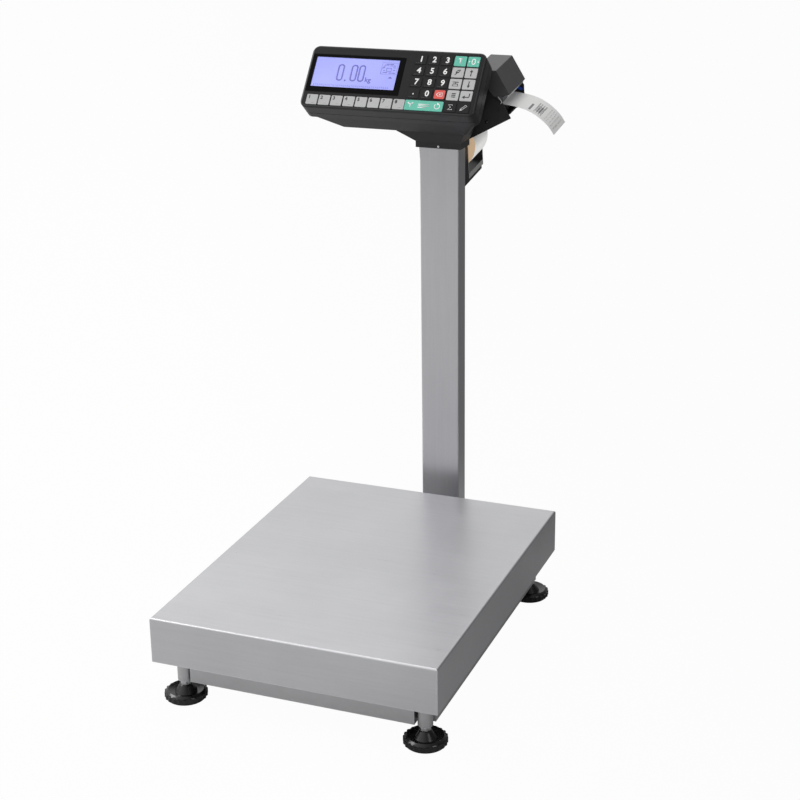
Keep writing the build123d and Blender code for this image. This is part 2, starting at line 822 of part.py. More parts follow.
with BuildPart() as platen_roller:
    with BuildSketch(module_at(-slip)):
        with Locations((platen_x, platen_y)):
            Circle(platen_shaft)
    extrude(amount=-(module_width + 2 * slip))
    with BuildSketch(module_at(roll_start - 2.0)):
        with Locations((platen_x, platen_y)):
            Circle(platen_radius)
    extrude(amount=-(label_width + 4.0))
save(platen_roller, "platen_roller")

nip_y = platen_y + platen_radius + rest_gap + label_thickness / 2
head_face = nip_y + label_thickness / 2 + rest_gap
with BuildPart() as print_head:
    with BuildSketch(module_at(roll_start - 2.0)):
        with BuildLine():
            Polyline(
                (head_pivot_x - 3.5, head_pivot_y - 4.0),
                (head_pivot_x - 3.5, head_pivot_y + 3.5),
                (head_pivot_x + 5.0, head_pivot_y + 3.5),
                (platen_x + 6.0, head_face + 9.0),
                (platen_x + 6.0, head_face + 3.0),
                (platen_x + 3.0, head_face),
                (platen_x - 3.0, head_face),
                (platen_x - 8.0, head_face + 4.5),
                close=True,
            )
        make_face()
    extrude(amount=-(label_width + 4.0))
    with BuildSketch(module_at(-slip)):
        with Locations((head_pivot_x, head_pivot_y)):
            Circle(pin_radius)
    extrude(amount=-(module_width + 2 * slip))
save(print_head, "print_head")

lever_gap = 0.4
lever_cos = math.cos(math.radians(lever_lean))
lever_sin = math.sin(math.radians(lever_lean))


def on_lever(along, across):
    """Place on the lever, from its pivot: along its arm and across it."""
    return (
        lever_x + along * lever_cos + across * lever_sin,
        lever_y - along * lever_sin + across * lever_cos,
    )


with BuildPart() as release_lever:
    with BuildSketch(module_at(module_width + lever_gap)):
        with Locations((lever_x, lever_y)):
            Circle(pin_radius + 2.0)
        with BuildLine():
            Polyline(
                on_lever(0.0, 3.0),
                on_lever(lever_length - 2.0, 2.5),
                on_lever(lever_length, 0.0),
                on_lever(lever_length - 2.0, -3.0),
                on_lever(0.0, -3.0),
                close=True,
            )
        make_face()
    extrude(amount=-3.0)
    with BuildSketch(module_at(module_width - plate)):
        with Locations((lever_x, lever_y)):
            Circle(pin_radius)
    extrude(amount=-(plate + lever_gap))
save(release_lever, "release_lever")

with BuildPart() as roll_holder:
    tray_left = roll_x - roll_radius - tray_sheet - 3.0
    with BuildSketch(module_at(plate)):
        with BuildLine():
            Polyline(
                (tray_left, tray_floor),
                (tray_right, tray_floor),
                (tray_right, roll_y - 4.0),
                (roll_x + roll_core + 4.0, roll_y + roll_core),
                (plate_left, roll_y + roll_core),
                (tray_left, roll_y),
                close=True,
            )
        make_face()
    extrude(amount=-tray_sheet)
    with BuildSketch(module_at(plate)):
        with BuildLine():
            Polyline(
                (tray_left, roll_y),
                (tray_left, tray_floor),
                (tray_right, tray_floor),
                (tray_right, tray_floor - tray_flange),
                (tray_right - tray_sheet, tray_floor - tray_flange),
                (tray_right - tray_sheet, tray_floor - tray_sheet),
                (tray_left - tray_sheet, tray_floor - tray_sheet),
                (tray_left - tray_sheet, roll_y),
                close=True,
            )
        make_face()
    extrude(amount=-(tray_rear - plate))
    with BuildSketch(module_at(tray_rear - tray_sheet)):
        with Locations(((tray_left + tray_right) / 2, (tray_floor + roll_y - 12.0) / 2)):
            Rectangle(tray_right - tray_left, roll_y - 12.0 - tray_floor)
    extrude(amount=-tray_sheet)
    with BuildSketch(module_at(plate)):
        with Locations((roll_x, roll_y)):
            Circle(roll_core - running)
    extrude(amount=plate - tray_rear)
save(roll_holder, "roll_holder")

with BuildPart() as label_roll:
    with BuildSketch(module_at(roll_start)):
        with Locations((roll_x, roll_y)):
            Circle(roll_radius)
            Circle(roll_core, mode=Mode.SUBTRACT)
    extrude(amount=-label_width)
save(label_roll, "label_roll")

# The web leaves the roll along the tangent that it shares with the platen, passes between head and
# platen, and curls down outside
web_gap = rest_gap + label_thickness / 2
span_x = platen_x - roll_x
span_y = platen_y - roll_y
web_normal = math.atan2(span_y, span_x) + math.acos((roll_radius - platen_radius) / math.hypot(span_x, span_y))
exit_normal = 84.0


def tangent_point(centre_x, centre_y, radius):
    """Point where the web's middle leaves a circle that it touches."""
    return (
        centre_x + (radius + web_gap) * math.cos(web_normal),
        centre_y + (radius + web_gap) * math.sin(web_normal),
    )


with BuildPart() as label_strip:
    with BuildSketch(module_at(roll_start)):
        with BuildLine() as web:
            Line(
                tangent_point(roll_x, roll_y, roll_radius),
                tangent_point(platen_x, platen_y, platen_radius),
            )
            wrap = CenterArc(
                (platen_x, platen_y),
                platen_radius + web_gap,
                math.degrees(web_normal),
                exit_normal - math.degrees(web_normal),
            )
            Spline(
                wrap @ 1,
                (platen_x + 25.7, platen_y + 4.8),
                (platen_x + 37.6, platen_y + 1.8),
                (platen_x + 51.0, platen_y - 4.2),
                (platen_x + 63.5, platen_y - 13.2),
                (platen_x + 73.3, platen_y - 23.1),
                (platen_x + 80.3, platen_y - 34.0),
                tangents=[wrap % 1, (0.54, -0.84)],
            )
        trace(web.edges(), line_width=label_thickness)
    extrude(amount=-label_width)
save(label_strip, "label_strip")

# ------------------------------------------------------------------ cable from load cell to board
plug_end = board_back + plug_height
end_point = face_at(plug_end).from_local_coords((cable_x - face_left, cable_face_y, 0))
inward = face_plane.z_dir
turn_length = (end_point.Y - deck_y - cable_column_y) / inward.Y
turn_point = end_point - inward * turn_length
cable_height = cell_bottom + cell_height / 2
cable_route = [
    (0, deck_y + cell_length / 2, cable_height),
    (0, deck_y + cell_length / 2 + 30.0, cable_height),
    (cable_x, deck_y + cell_length / 2 + 70.0, cable_height),
    (cable_x, deck_y + rail_y, cable_height),
    (cable_x, deck_y + rail_y, cable_low),
    (cable_x, deck_y + cable_column_y, cable_low),
    (cable_x, deck_y + cable_column_y, turn_point.Z),
    (end_point.X, end_point.Y, end_point.Z),
]
with BuildPart() as cell_cable:
    with BuildLine() as route:
        FilletPolyline(*cable_route, radius=[25.0, 25.0, 14.0, 12.0, 12.0, 14.0])
    with BuildSketch(Plane(origin=cable_route[0], x_dir=(1, 0, 0), z_dir=(0, 1, 0))):
        Circle(cable_radius)
    sweep()
save(cell_cable, "cell_cable")


# ------------------------------------------------------------------ fasteners
def screw(seat, shank_radius, length, head_height):
    """One screw on its seat plane: the head stands on the plane, the shank goes the other way."""
    with BuildSketch(seat) as head:
        Circle(1.75 * shank_radius)
    extrude(head.sketch, amount=head_height)
    with BuildSketch(seat) as shank:
        Circle(shank_radius)
    extrude(shank.sketch, amount=-length)


with BuildPart() as fasteners:
    for place in bolt_places:
        under = Plane(origin=(0, deck_y + place, rail_bottom), x_dir=(1, 0, 0), z_dir=(0, 0, -1))
        screw(under, bolt_radius, cell_bottom - rail_bottom + cell_height * 0.6, 4.0)
        over = Plane(origin=(0, deck_y - place, upper_top))
        screw(over, bolt_radius, upper_top - cell_top + cell_height * 0.6, 4.0)
    for height in stub_screws:
        back = Plane(origin=(0, deck_y + column_back, height), x_dir=(-1, 0, 0), z_dir=(0, 1, 0))
        screw(back, plate_screw_radius, column_wall + loose + stub_wall, 3.0)
    for height in plate_screws:
        back = Plane(origin=(0, deck_y + column_back + plate, height), x_dir=(-1, 0, 0), z_dir=(0, 1, 0))
        screw(back, plate_screw_radius, plate + column_wall + 4.0, 3.0)
    for boss_x, boss_y in boss_places:
        seat = face_at(front_depth + 1.5)
        seat_plane = Plane(
            origin=seat.from_local_coords((boss_x, boss_y, 0)), x_dir=(1, 0, 0), z_dir=-face_plane.z_dir
        )
        screw(seat_plane, screw_radius, 12.0, 1.6)
    with BuildSketch(collar_front.offset(-set_screw_depth)) as set_screw:
        Circle(screw_radius)
    extrude(set_screw.sketch, amount=set_screw_depth + rest_gap - collar_wall)
save(fasteners, "fasteners")
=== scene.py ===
# %% [markdown]
# # A label printing scale
# A stainless platform stands on four levelling feet. A column behind it carries a leaning
# terminal with a display and a keypad, and behind the terminal hangs a label printer.
# The hard shapes come from a CAD frame that is loaded first and never moved. The lesson is
# about what goes on top of it: finishes, printed marks and the small parts between them.

# %% Load the frame
import json
import math

import bmesh
import bpy
from mathutils import Matrix, Vector


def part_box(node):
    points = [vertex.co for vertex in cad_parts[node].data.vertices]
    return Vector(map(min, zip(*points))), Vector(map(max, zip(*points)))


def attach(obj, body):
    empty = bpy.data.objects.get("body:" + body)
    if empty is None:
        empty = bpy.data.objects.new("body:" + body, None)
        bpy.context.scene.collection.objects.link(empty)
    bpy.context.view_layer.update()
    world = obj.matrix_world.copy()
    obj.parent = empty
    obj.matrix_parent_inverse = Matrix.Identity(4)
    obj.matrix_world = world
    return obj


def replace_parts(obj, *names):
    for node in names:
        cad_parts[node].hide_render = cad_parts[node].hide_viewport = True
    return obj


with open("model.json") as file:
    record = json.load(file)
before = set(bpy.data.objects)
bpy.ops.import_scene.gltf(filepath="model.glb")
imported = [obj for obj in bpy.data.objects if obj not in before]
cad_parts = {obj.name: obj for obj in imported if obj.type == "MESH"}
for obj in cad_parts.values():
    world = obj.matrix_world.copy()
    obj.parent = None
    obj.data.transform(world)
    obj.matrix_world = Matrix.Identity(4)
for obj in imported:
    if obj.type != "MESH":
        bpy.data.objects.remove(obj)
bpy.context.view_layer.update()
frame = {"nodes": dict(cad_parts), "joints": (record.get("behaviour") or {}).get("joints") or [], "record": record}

nodes = frame["nodes"]
joints = {joint["name"]: joint for joint in frame["joints"]}

# %% [markdown]
# ## Camera
# A product picture of a scale is taken from a standing person's height, a little from the
# right, with a long lens so that the column stays straight. The camera's place is written
# from the middle of the platform's top, and its direction as a heading, a downward pitch and
# a slight roll.

# %% Place the camera
FROM_PLATFORM = Vector((0.84123, -1.99347, 1.03378))
HEADING = -0.37577713
PITCH = 0.35239143
ROLL = -0.01262672
LENS = 77.0895
SENSOR = 36.0


def camera_turn(heading, pitch, roll):
    """Rotation of a camera that looks along a heading, down by a pitch, and rolls a little."""
    flat = math.cos(pitch)
    forward = Vector((math.sin(heading) * flat, math.cos(heading) * flat, -math.sin(pitch)))
    level = forward.cross(Vector((0, 0, 1))).normalized()
    above = level.cross(forward)
    right = math.cos(roll) * level + math.sin(roll) * above
    up = math.cos(roll) * above - math.sin(roll) * level
    return Matrix((right, up, -forward)).transposed().to_4x4()


lens = bpy.data.cameras.new("view_camera")
lens.lens = LENS
lens.sensor_width = SENSOR
lens.clip_end = 100.0
camera = bpy.data.objects.new("view_camera", lens)
bpy.context.scene.collection.objects.link(camera)
pan_low, pan_high = (Vector(corner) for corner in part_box("platform_pan"))
platform_top = Vector(((pan_low.x + pan_high.x) / 2, (pan_low.y + pan_high.y) / 2, pan_high.z))
camera.matrix_world = Matrix.Translation(platform_top + FROM_PLATFORM) @ camera_turn(HEADING, PITCH, ROLL)
bpy.context.scene.camera = camera
print("camera at", [round(value, 3) for value in camera.matrix_world.translation])

# %% [markdown]
# ## Shader arithmetic
# A finish is easier to read as sums and products than as a list of nodes. One small class
# wraps a node's output and turns each operator into a Math node. Another class holds the
# material that is being made. One of its methods adds any other node, and the rest are
# short names for the nodes that nearly every finish needs.


# %% Signals and finishes
EDGE_GAIN = 6.0


class Signal:
    """An output socket that takes part in sums, products and comparisons."""

    def __init__(self, finish, socket):
        self.finish = finish
        self.socket = socket

    def maths(self, operation, first, second=0.0, clamp=False):
        settings = {"operation": operation, "use_clamp": clamp}
        return self.finish.node("ShaderNodeMath", settings, {0: first, 1: second})

    def __add__(self, other):
        return self.maths("ADD", self, other)

    __radd__ = __add__

    def __sub__(self, other):
        return self.maths("SUBTRACT", self, other)

    def __rsub__(self, other):
        return self.maths("SUBTRACT", other, self)

    def __mul__(self, other):
        return self.maths("MULTIPLY", self, other)

    __rmul__ = __mul__

    def __truediv__(self, other):
        return self.maths("DIVIDE", self, other)

    def __gt__(self, other):
        return self.maths("GREATER_THAN", self, other)

    def __lt__(self, other):
        return self.maths("LESS_THAN", self, other)

    def __abs__(self):
        return self.maths("ABSOLUTE", self)

    def clamped(self):
        return self.maths("ADD", self, 0.0, clamp=True)

    def sine(self):
        return self.maths("SINE", self)


class Finish:
    """A material in the making, with one Principled shader as its surface."""

    def __init__(self, name):
        self.material = bpy.data.materials.new(name)
        self.material.use_nodes = True
        self.tree = self.material.node_tree
        self.tree.nodes.clear()
        self.shader = self.tree.nodes.new("ShaderNodeBsdfPrincipled")
        self.output = self.tree.nodes.new("ShaderNodeOutputMaterial")
        self.tree.links.new(self.shader.outputs[0], self.output.inputs[0])

    def node(self, kind, settings=None, inputs=None, out=0):
        """Adds a node: settings first, then the values or links of its sockets."""
        made = self.tree.nodes.new(kind)
        for name, value in (settings or {}).items():
            setattr(made, name, value)
        for name, value in (inputs or {}).items():
            self.feed(made.inputs[name], value)
        return Signal(self, made.outputs[out])

    def feed(self, socket, value):
        if isinstance(value, Signal):
            self.tree.links.new(value.socket, socket)
        else:
            socket.default_value = value

    def set(self, **inputs):
        """Sets the Principled shader's sockets; an underscore stands for a space."""
        for name, value in inputs.items():
            self.feed(self.shader.inputs[name.replace("_", " ")], value)
        return self

    def place(self, scale=(1.0, 1.0, 1.0)):
        """Object coordinates, stretched by a scale."""
        return self.vector("MULTIPLY", self.node("ShaderNodeTexCoord", out="Object"), scale)

    def normal(self):
        """The direction that the surface faces."""
        return self.node("ShaderNodeNewGeometry", out="Normal")

    def vector(self, operation, first, second=(0.0, 0.0, 0.0), out=0):
        """Vector arithmetic; an out of "Value" gives a number instead of a vector."""
        return self.node("ShaderNodeVectorMath", {"operation": operation}, {0: first, 1: second}, out)

    def axes(self, spot):
        """The three parts of a place, as numbers."""
        split = self.node("ShaderNodeSeparateXYZ", None, {0: spot})
        return [Signal(self, socket) for socket in split.socket.node.outputs]

    def noise(self, spot, size, detail=2.0, roughness=0.5):
        """Cloudy pattern from 0 to 1 whose spots are about size metres across."""
        values = {"Vector": spot, "Scale": 1.0 / size, "Detail": detail, "Roughness": roughness}
        return self.node("ShaderNodeTexNoise", None, values)

    def varied(self, middle, *patterns):
        """A value that swings about its middle by a share of each (pattern, share)."""
        for pattern, share in patterns:
            middle = (pattern - 0.5) * share + middle
        return middle.clamped()

    def mix(self, mask, first, second):
        """The first colour where the mask is 0 and the second where it is 1."""
        return self.node("ShaderNodeMix", {"data_type": "RGBA"}, {0: mask, 6: first, 7: second}, out=2)

    def bump(self, height, depth, strength=1.0):
        """Surface relief from a height of 0 to 1 that stands for a depth in metres."""
        relief = {"Strength": strength, "Distance": depth, "Height": height}
        return self.set(Normal=self.node("ShaderNodeBump", None, relief))

    def edges(self, radius):
        """A mask that is 1 on convex and concave edges narrower than the radius."""
        softened = self.node("ShaderNodeBevel", {"samples": 4}, {"Radius": radius})
        along = self.vector("DOT_PRODUCT", softened, self.normal(), "Value")
        return ((1.0 - along) * EDGE_GAIN).clamped()


def shade(red, green, blue):
    """A colour written as it looks on a screen, from 0 to 255, as linear light."""
    linear = [
        ((part / 255 + 0.055) / 1.055) ** 2.4 if part > 10 else part / 255 / 12.92
        for part in (red, green, blue)
    ]
    return (*linear, 1.0)


def tinted(colour, factor, lift=0.0):
    """A colour made darker or lighter by a factor, then lifted by a little light."""
    return tuple(min(part * factor + lift, 1.0) for part in colour[:3]) + (1.0,)


print("a mid grey is", round(shade(128, 128, 128)[0], 3), "in linear light")

# %% [markdown]
# ## Light and floor
# Stainless steel shows whatever surrounds it, so the room matters more than the lamps. The
# room is bright above and on the left and darker on the right, which gives the three sides
# of the platform their three tones. The floor is pale and turns grey behind the object on the
# right. Only the steel sees these greys: to the camera both the room and the floor are plain
# white, and of the object's shadow hardly a trace is left.

# %% Build the room
ROOM_LEVEL = 0.69
WHITE = (1.0, 1.0, 1.0, 1.0)

# Along X and along Z: from one (direction, brightness) to another
WALL = ((-0.75, 0.98), (0.95, 0.12))
CEILING = ((0.10, 0.95), (0.48, 1.55))

# Place, aim, size in metres and power in watts
LAMPS = {
    "key_lamp": ((-3.0, -1.0, 2.8), (0.0, 0.0, 0.4), 1.8, 68.0),
    "top_lamp": ((0.1, 0.9, 3.2), (0.0, 0.0, 0.3), 2.2, 18.0),
    "fill_lamp": ((3.2, -1.6, 1.4), (0.0, 0.2, 0.7), 1.6, 20.0),
}

room = bpy.data.worlds.new("studio_room")
bpy.context.scene.world = room
room.use_nodes = True
tree = room.node_tree
tree.nodes.clear()


def room_node(kind, settings, inputs):
    """Adds a node to the room: settings first, then the values or links of its sockets."""
    made = tree.nodes.new(kind)
    for name, value in settings.items():
        setattr(made, name, value)
    for name, value in inputs.items():
        if isinstance(value, bpy.types.NodeSocket):
            tree.links.new(value, made.inputs[name])
        else:
            made.inputs[name].default_value = value
    return made.outputs


def room_ramp(direction, ends, interpolation="LINEAR"):
    """Brightness that changes from one end to the other along a direction."""
    (from_min, to_min), (from_max, to_max) = ends
    limits = {"From Min": from_min, "From Max": from_max, "To Min": to_min, "To Max": to_max}
    settings = {"interpolation_type": interpolation}
    return room_node("ShaderNodeMapRange", settings, {"Value": direction, **limits})[0]


def area_lamp(name, place, aim, size, power):
    """A square soft box at a place, turned towards a point."""
    lamp = bpy.data.lights.new(name, "AREA")
    lamp.energy = power
    lamp.size = size
    box = bpy.data.objects.new(name, lamp)
    bpy.context.scene.collection.objects.link(box)
    box.location = place
    box.rotation_euler = (Vector(aim) - Vector(place)).to_track_quat("-Z", "Y").to_euler()


around = room_node("ShaderNodeTexCoord", {}, {})["Generated"]
directions = room_node("ShaderNodeSeparateXYZ", {}, {0: around})
wall = room_ramp(directions["X"], WALL, "SMOOTHSTEP")
ceiling = room_ramp(directions["Z"], CEILING)
grey = room_node("ShaderNodeMath", {"operation": "MULTIPLY"}, {0: wall, 1: ceiling})[0]
watched = room_node("ShaderNodeLightPath", {}, {})["Is Camera Ray"]
white_level = {0: watched, 1: 1.0 / ROOM_LEVEL}
whiter = room_node("ShaderNodeMath", {"operation": "MULTIPLY"}, white_level)[0]
pale = room_node("ShaderNodeMath", {"operation": "MAXIMUM"}, {0: grey, 1: whiter})[0]
glow = room_node("ShaderNodeBackground", {}, {"Color": pale, "Strength": ROOM_LEVEL})[0]
room_node("ShaderNodeOutputWorld", {}, {"Surface": glow})

bpy.context.scene.view_settings.view_transform = "Standard"
for name, lamp in LAMPS.items():
    area_lamp(name, *lamp)
print("room level", ROOM_LEVEL, "and", len(LAMPS), "lamps")

# %% Lay the floor
FLOOR_REACH = 30.0
FLOOR_PALE = (0.54, 0.54, 0.54, 1.0)
FLOOR_DARK = (0.10, 0.10, 0.10, 1.0)

# The floor darkens along this direction, from the turn and over the fade in metres
FLOOR_SLANT = (0.85, 0.5, 0.0)
FLOOR_TURN = -0.25
FLOOR_FADE = 0.75

# Share of plain white in what the camera and the glossy surfaces see of the floor
SEEN_WHITE = 0.97
SHINY_WHITE = 0.05

shape = bmesh.new()
bmesh.ops.create_circle(shape, cap_ends=True, radius=FLOOR_REACH, segments=64)
floor_mesh = bpy.data.meshes.new("floor")
shape.to_mesh(floor_mesh)
shape.free()
floor = bpy.data.objects.new("floor", floor_mesh)
bpy.context.scene.collection.objects.link(floor)

paper = Finish("floor_paper")
slanted = paper.vector("DOT_PRODUCT", paper.place(), FLOOR_SLANT, "Value")
away = ((slanted - FLOOR_TURN) / FLOOR_FADE).clamped()
paper.set(Base_Color=paper.mix(away, FLOOR_PALE, FLOOR_DARK), Roughness=0.9)
seen = paper.node("ShaderNodeLightPath", out="Is Camera Ray")
shiny = paper.node("ShaderNodeLightPath", out="Is Glossy Ray")
whiteness = (seen * SEEN_WHITE + shiny * SHINY_WHITE).clamped()
white = paper.node("ShaderNodeEmission", None, {"Color": WHITE})
surface = Signal(paper, paper.shader.outputs[0])
blend = paper.node("ShaderNodeMixShader", None, {0: whiteness, 1: surface, 2: white})
paper.feed(paper.output.inputs[0], blend)
floor.data.materials.append(paper.material)
print("floor is", FLOOR_REACH, "m to its edge")

# %% [markdown]
# ## Finishes
# The platform and the column are folded from satin stainless sheet. Its grain is a bundle of
# very fine scratches in one direction, with broader streaks along them, so a noise is squeezed
# hard along that direction at two sizes. Clouds and smears break the grain up, and together
# they drive colour, roughness and relief a little each. Painted steel has a fine orange peel,
# moulded plastic a leather-like grain. Steel, paint and plastic are all lighter on their edges,
# partly from wear and partly as a painted highlight.

# %% Finish recipes
STREAK_SIZE = 10.0
CLOUD_SIZE = 0.16
SMEAR_SIZE = 0.035
STEEL_EDGE = 0.0018
COAT_CLOUD = 0.05
DUST_SIZE = 0.012


def brushed(name, colour, grain, roughness=0.34, wear_and_highlight=0.10):
    """Satin steel; grain holds how fast the scratches change along X, Y and Z, per metre."""
    steel = Finish(name)
    scratches = steel.noise(steel.place(grain), 1.0, 3.0, 0.65)
    broad = tuple(part / STREAK_SIZE for part in grain)
    streaks = steel.noise(steel.place(broad), 1.0, 3.0)
    clouds = steel.noise(steel.place(), CLOUD_SIZE, 3.0)
    smears = steel.noise(steel.place(), SMEAR_SIZE, 4.0, 0.7)
    tone = steel.varied(0.5, (scratches, 0.5), (streaks, 0.45), (clouds, 0.7))
    base = steel.mix(tone, tinted(colour, 0.86), tinted(colour, 1.10))
    # Lighter edges: partly wear, partly a painted highlight.
    edge = steel.edges(STEEL_EDGE)
    satin = steel.varied(roughness, (scratches, 0.16), (streaks, 0.12), (smears, 0.16))
    steel.set(
        Base_Color=steel.mix(edge * 0.6, base, tinted(colour, 1.0 + 4 * wear_and_highlight)),
        Metallic=1.0,
        Roughness=(satin - edge * 0.08).clamped(),
    )
    return steel.bump(scratches + smears * 0.3, 0.00002, 0.5)


def coated(name, colour, roughness, grain, depth, wear_and_highlight=0.25, gloss=0.5, round_edge=0.0008, **shader):
    """Paint or moulded plastic with a fine relief, cloudy tone, and edges lightened by wear and a painted
    highlight.
    """
    skin = Finish(name)
    peel = skin.noise(skin.place(), grain, 2.0)
    clouds = skin.noise(skin.place(), COAT_CLOUD, 3.0)
    dust = skin.noise(skin.place(), DUST_SIZE, 5.0, 0.7)
    dark, light = tinted(colour, 0.82), tinted(colour, 1.16, 0.002)
    cloudy = skin.mix(clouds * 0.6 + peel * 0.4, dark, light)
    # Lighter edges: partly wear, partly a painted highlight.
    skin.set(
        Base_Color=skin.mix(skin.edges(round_edge) * wear_and_highlight, cloudy, tinted(colour, 1.5, 0.03)),
        Roughness=skin.varied(roughness, (dust, 0.16), (peel, 0.10)),
        Specular_IOR_Level=gloss,
        **shader,
    )
    return skin.bump(peel, depth, 0.6)


STEEL = shade(211, 211, 214)
finishes = {
    "stainless": brushed("satin_stainless", STEEL, (90.0, 2600.0, 2600.0)),
    "column": brushed("column_stainless", STEEL, (2600.0, 2600.0, 60.0)),
    "frame_steel": brushed("mill_steel", shade(200, 200, 202), (500.0, 500.0, 1500.0), 0.42),
    "zinc": brushed("bright_zinc", shade(232, 233, 236), (2500.0, 2500.0, 400.0), 0.34),
    "cell": brushed("milled_aluminium", shade(205, 207, 210), (200.0, 3500.0, 3500.0), 0.38),
    "rubber": coated("black_rubber", shade(28, 28, 29), 0.72, 0.0006, 0.00004),
    "foot": coated("foot_plastic", shade(9, 9, 10), 0.24, 0.003, 0.00001, wear_and_highlight=0.25, gloss=0.6),
    # The case's strong light edges are mostly a painted highlight: a strip light's reflection on its edges.
    "case": coated(
        "case_plastic", shade(38, 38, 40), 0.33, 0.0007, 0.00001, wear_and_highlight=0.6, gloss=0.42, round_edge=0.0016
    ),
    "paint": coated("dark_paint", shade(38, 38, 40), 0.46, 0.0009, 0.00003, gloss=0.3),
    "cover": coated("cover_paint", shade(74, 74, 76), 0.42, 0.0009, 0.00003),
    "board": coated("board_lacquer", shade(24, 92, 52), 0.35, 0.002, 0.00003, Coat_Weight=0.3),
    "head": coated("head_casting", shade(120, 121, 124), 0.42, 0.0012, 0.00004, Metallic=0.8),
    "lever": coated("blue_plastic", shade(22, 74, 190), 0.32, 0.001, 0.00001),
    "key_grey": coated("key_grey", shade(182, 183, 182), 0.50, 0.0008, 0.00002, wear_and_highlight=0.1),
    "key_black": coated("key_black", shade(24, 24, 26), 0.46, 0.0008, 0.00002, wear_and_highlight=0.05, gloss=0.2),
    "key_green": coated("key_green", shade(96, 190, 168), 0.48, 0.0008, 0.00002, wear_and_highlight=0.1),
    "key_red": coated("key_red", shade(222, 84, 76), 0.48, 0.0008, 0.00002, wear_and_highlight=0.1),
    "film": coated("keypad_film", shade(24, 24, 26), 0.42, 0.0009, 0.00002, wear_and_highlight=0.1, gloss=0.2),
    "screen": coated("screen_glass", shade(178, 184, 250), 0.25, 0.002, 0.00001, wear_and_highlight=0.0),
}
print("finishes:", ", ".join(sorted(finishes)))

# %% [markdown]
# ## Paper and tray
# The label comes out printed with rows of marks, which are stripes across the strip broken up
# by noise. The roll is white outside, but its two ends show the edges of the yellowish
# backing paper, wound in rings. The tray keeps its own light grey only on the side faces of its
# two end walls, and the rest is painted dark as painted shade. Which way a surface faces tells
# these apart, so each mask starts from a normal. The label glows faintly, and the parts of the
# roll that do not face up glow more: painted light that lifts their shaded sides.

# %% Printed label, wound roll and tray with painted shade
PRINTER_AXIS = Vector(joints["cover_open"]["axis"])
LABEL_WIDTH = 0.058
ROW_PITCH = 0.0031
WINDING_PITCH = 0.0007
CORE_RADIUS = 0.0225
TRAY_WALL = 0.0025
FACING = 0.7
PAPER_PALE, PAPER_WHITE = shade(226, 226, 225), shade(240, 240, 239)
PRINT_GREY = shade(70, 70, 74)


def faces_along(finish, direction):
    """How far a surface faces along a direction, either way: 1 straight on and 0 edge on."""
    return abs(finish.vector("DOT_PRODUCT", finish.normal(), direction, "Value"))


strip_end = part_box("label_strip")[1][0]
roll_low, roll_high = (Vector(corner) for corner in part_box("label_roll"))
roll_axis = (roll_low + roll_high) / 2
label_start = roll_axis.dot(-PRINTER_AXIS) - LABEL_WIDTH / 2

label = Finish("printed_label")
label_x = label.axes(label.place())[0]
label_w = label.vector("DOT_PRODUCT", label.place(), tuple(-PRINTER_AXIS), "Value") - label_start
fibres = label.noise(label.place(), 0.0004, 3.0)
cells = label.noise(label.place((120.0, 900.0, 900.0)), 1.0, 1.0)
rows = (label_x * (2 * math.pi / ROW_PITCH)).sine() > 0.1


def patch(x_from, x_to, w_from, w_to):
    """1 inside a rectangle, measured back from the strip's end and in from its front edge."""
    inside = (label_x > strip_end - x_from) * (label_x < strip_end - x_to)
    return inside * (label_w > w_from) * (label_w < w_to)


heading = patch(0.040, 0.037, 0.006, 0.030)
upper_rows = patch(0.034, 0.021, 0.007, 0.044) * rows * (cells > 0.42)
block = patch(0.031, 0.023, 0.012, 0.034)
lower_rows = patch(0.018, 0.003, 0.006, 0.050) * rows * (cells > 0.52)
marks = heading * 0.9 + upper_rows * 0.75 + block * 0.45 + lower_rows * 0.5
ink_mask = (marks * (0.6 + fibres * 0.5)).clamped()
# Painted light: the label's faint emission brightens it where it lies in its own shade.
label.set(
    Base_Color=label.mix(ink_mask, label.mix(fibres, PAPER_PALE, PAPER_WHITE), PRINT_GREY),
    Roughness=label.varied(0.62, (fibres, 0.1)),
    Emission_Color=label.mix(ink_mask, PAPER_WHITE, PRINT_GREY),
    Emission_Strength=0.07,
)
label.bump(fibres, 0.00001, 0.3)

roll = Finish("wound_roll")
from_axis = roll.vector("SUBTRACT", roll.place(), tuple(roll_axis))
across = roll.vector("CROSS_PRODUCT", from_axis, tuple(PRINTER_AXIS))
radius = roll.vector("LENGTH", across, out="Value")
winding = (radius * (2 * math.pi / WINDING_PITCH)).sine() * 0.5 + 0.5
roll_fibres = roll.noise(roll.place(), 0.0006, 3.0)
edge_side = faces_along(roll, tuple(PRINTER_AXIS)) > FACING
backing = roll.mix(winding * 0.6 + roll_fibres * 0.4, shade(214, 178, 140), shade(240, 212, 178))
core = roll.mix(roll_fibres, shade(150, 112, 76), shade(178, 140, 100))
ends = roll.mix(radius < CORE_RADIUS, backing, core)
wound = roll.mix(roll_fibres, shade(232, 232, 231), shade(244, 244, 243))
# Painted light: the sides and underside of the roll glow so that they look lit.
upward = (roll.axes(roll.normal())[2] * 1.6 + 0.3).clamped()
lit = roll.mix(edge_side, shade(250, 250, 248), ends)
roll.set(
    Base_Color=roll.mix(edge_side, wound, ends),
    Roughness=roll.varied(0.66, (roll_fibres, 0.1)),
    Emission_Color=roll.mix(upward, lit, (0.0, 0.0, 0.0, 1.0)),
    Emission_Strength=0.50,
)
roll.bump(winding * edge_side * 0.8 + roll_fibres * 0.2, 0.00003, 0.4)

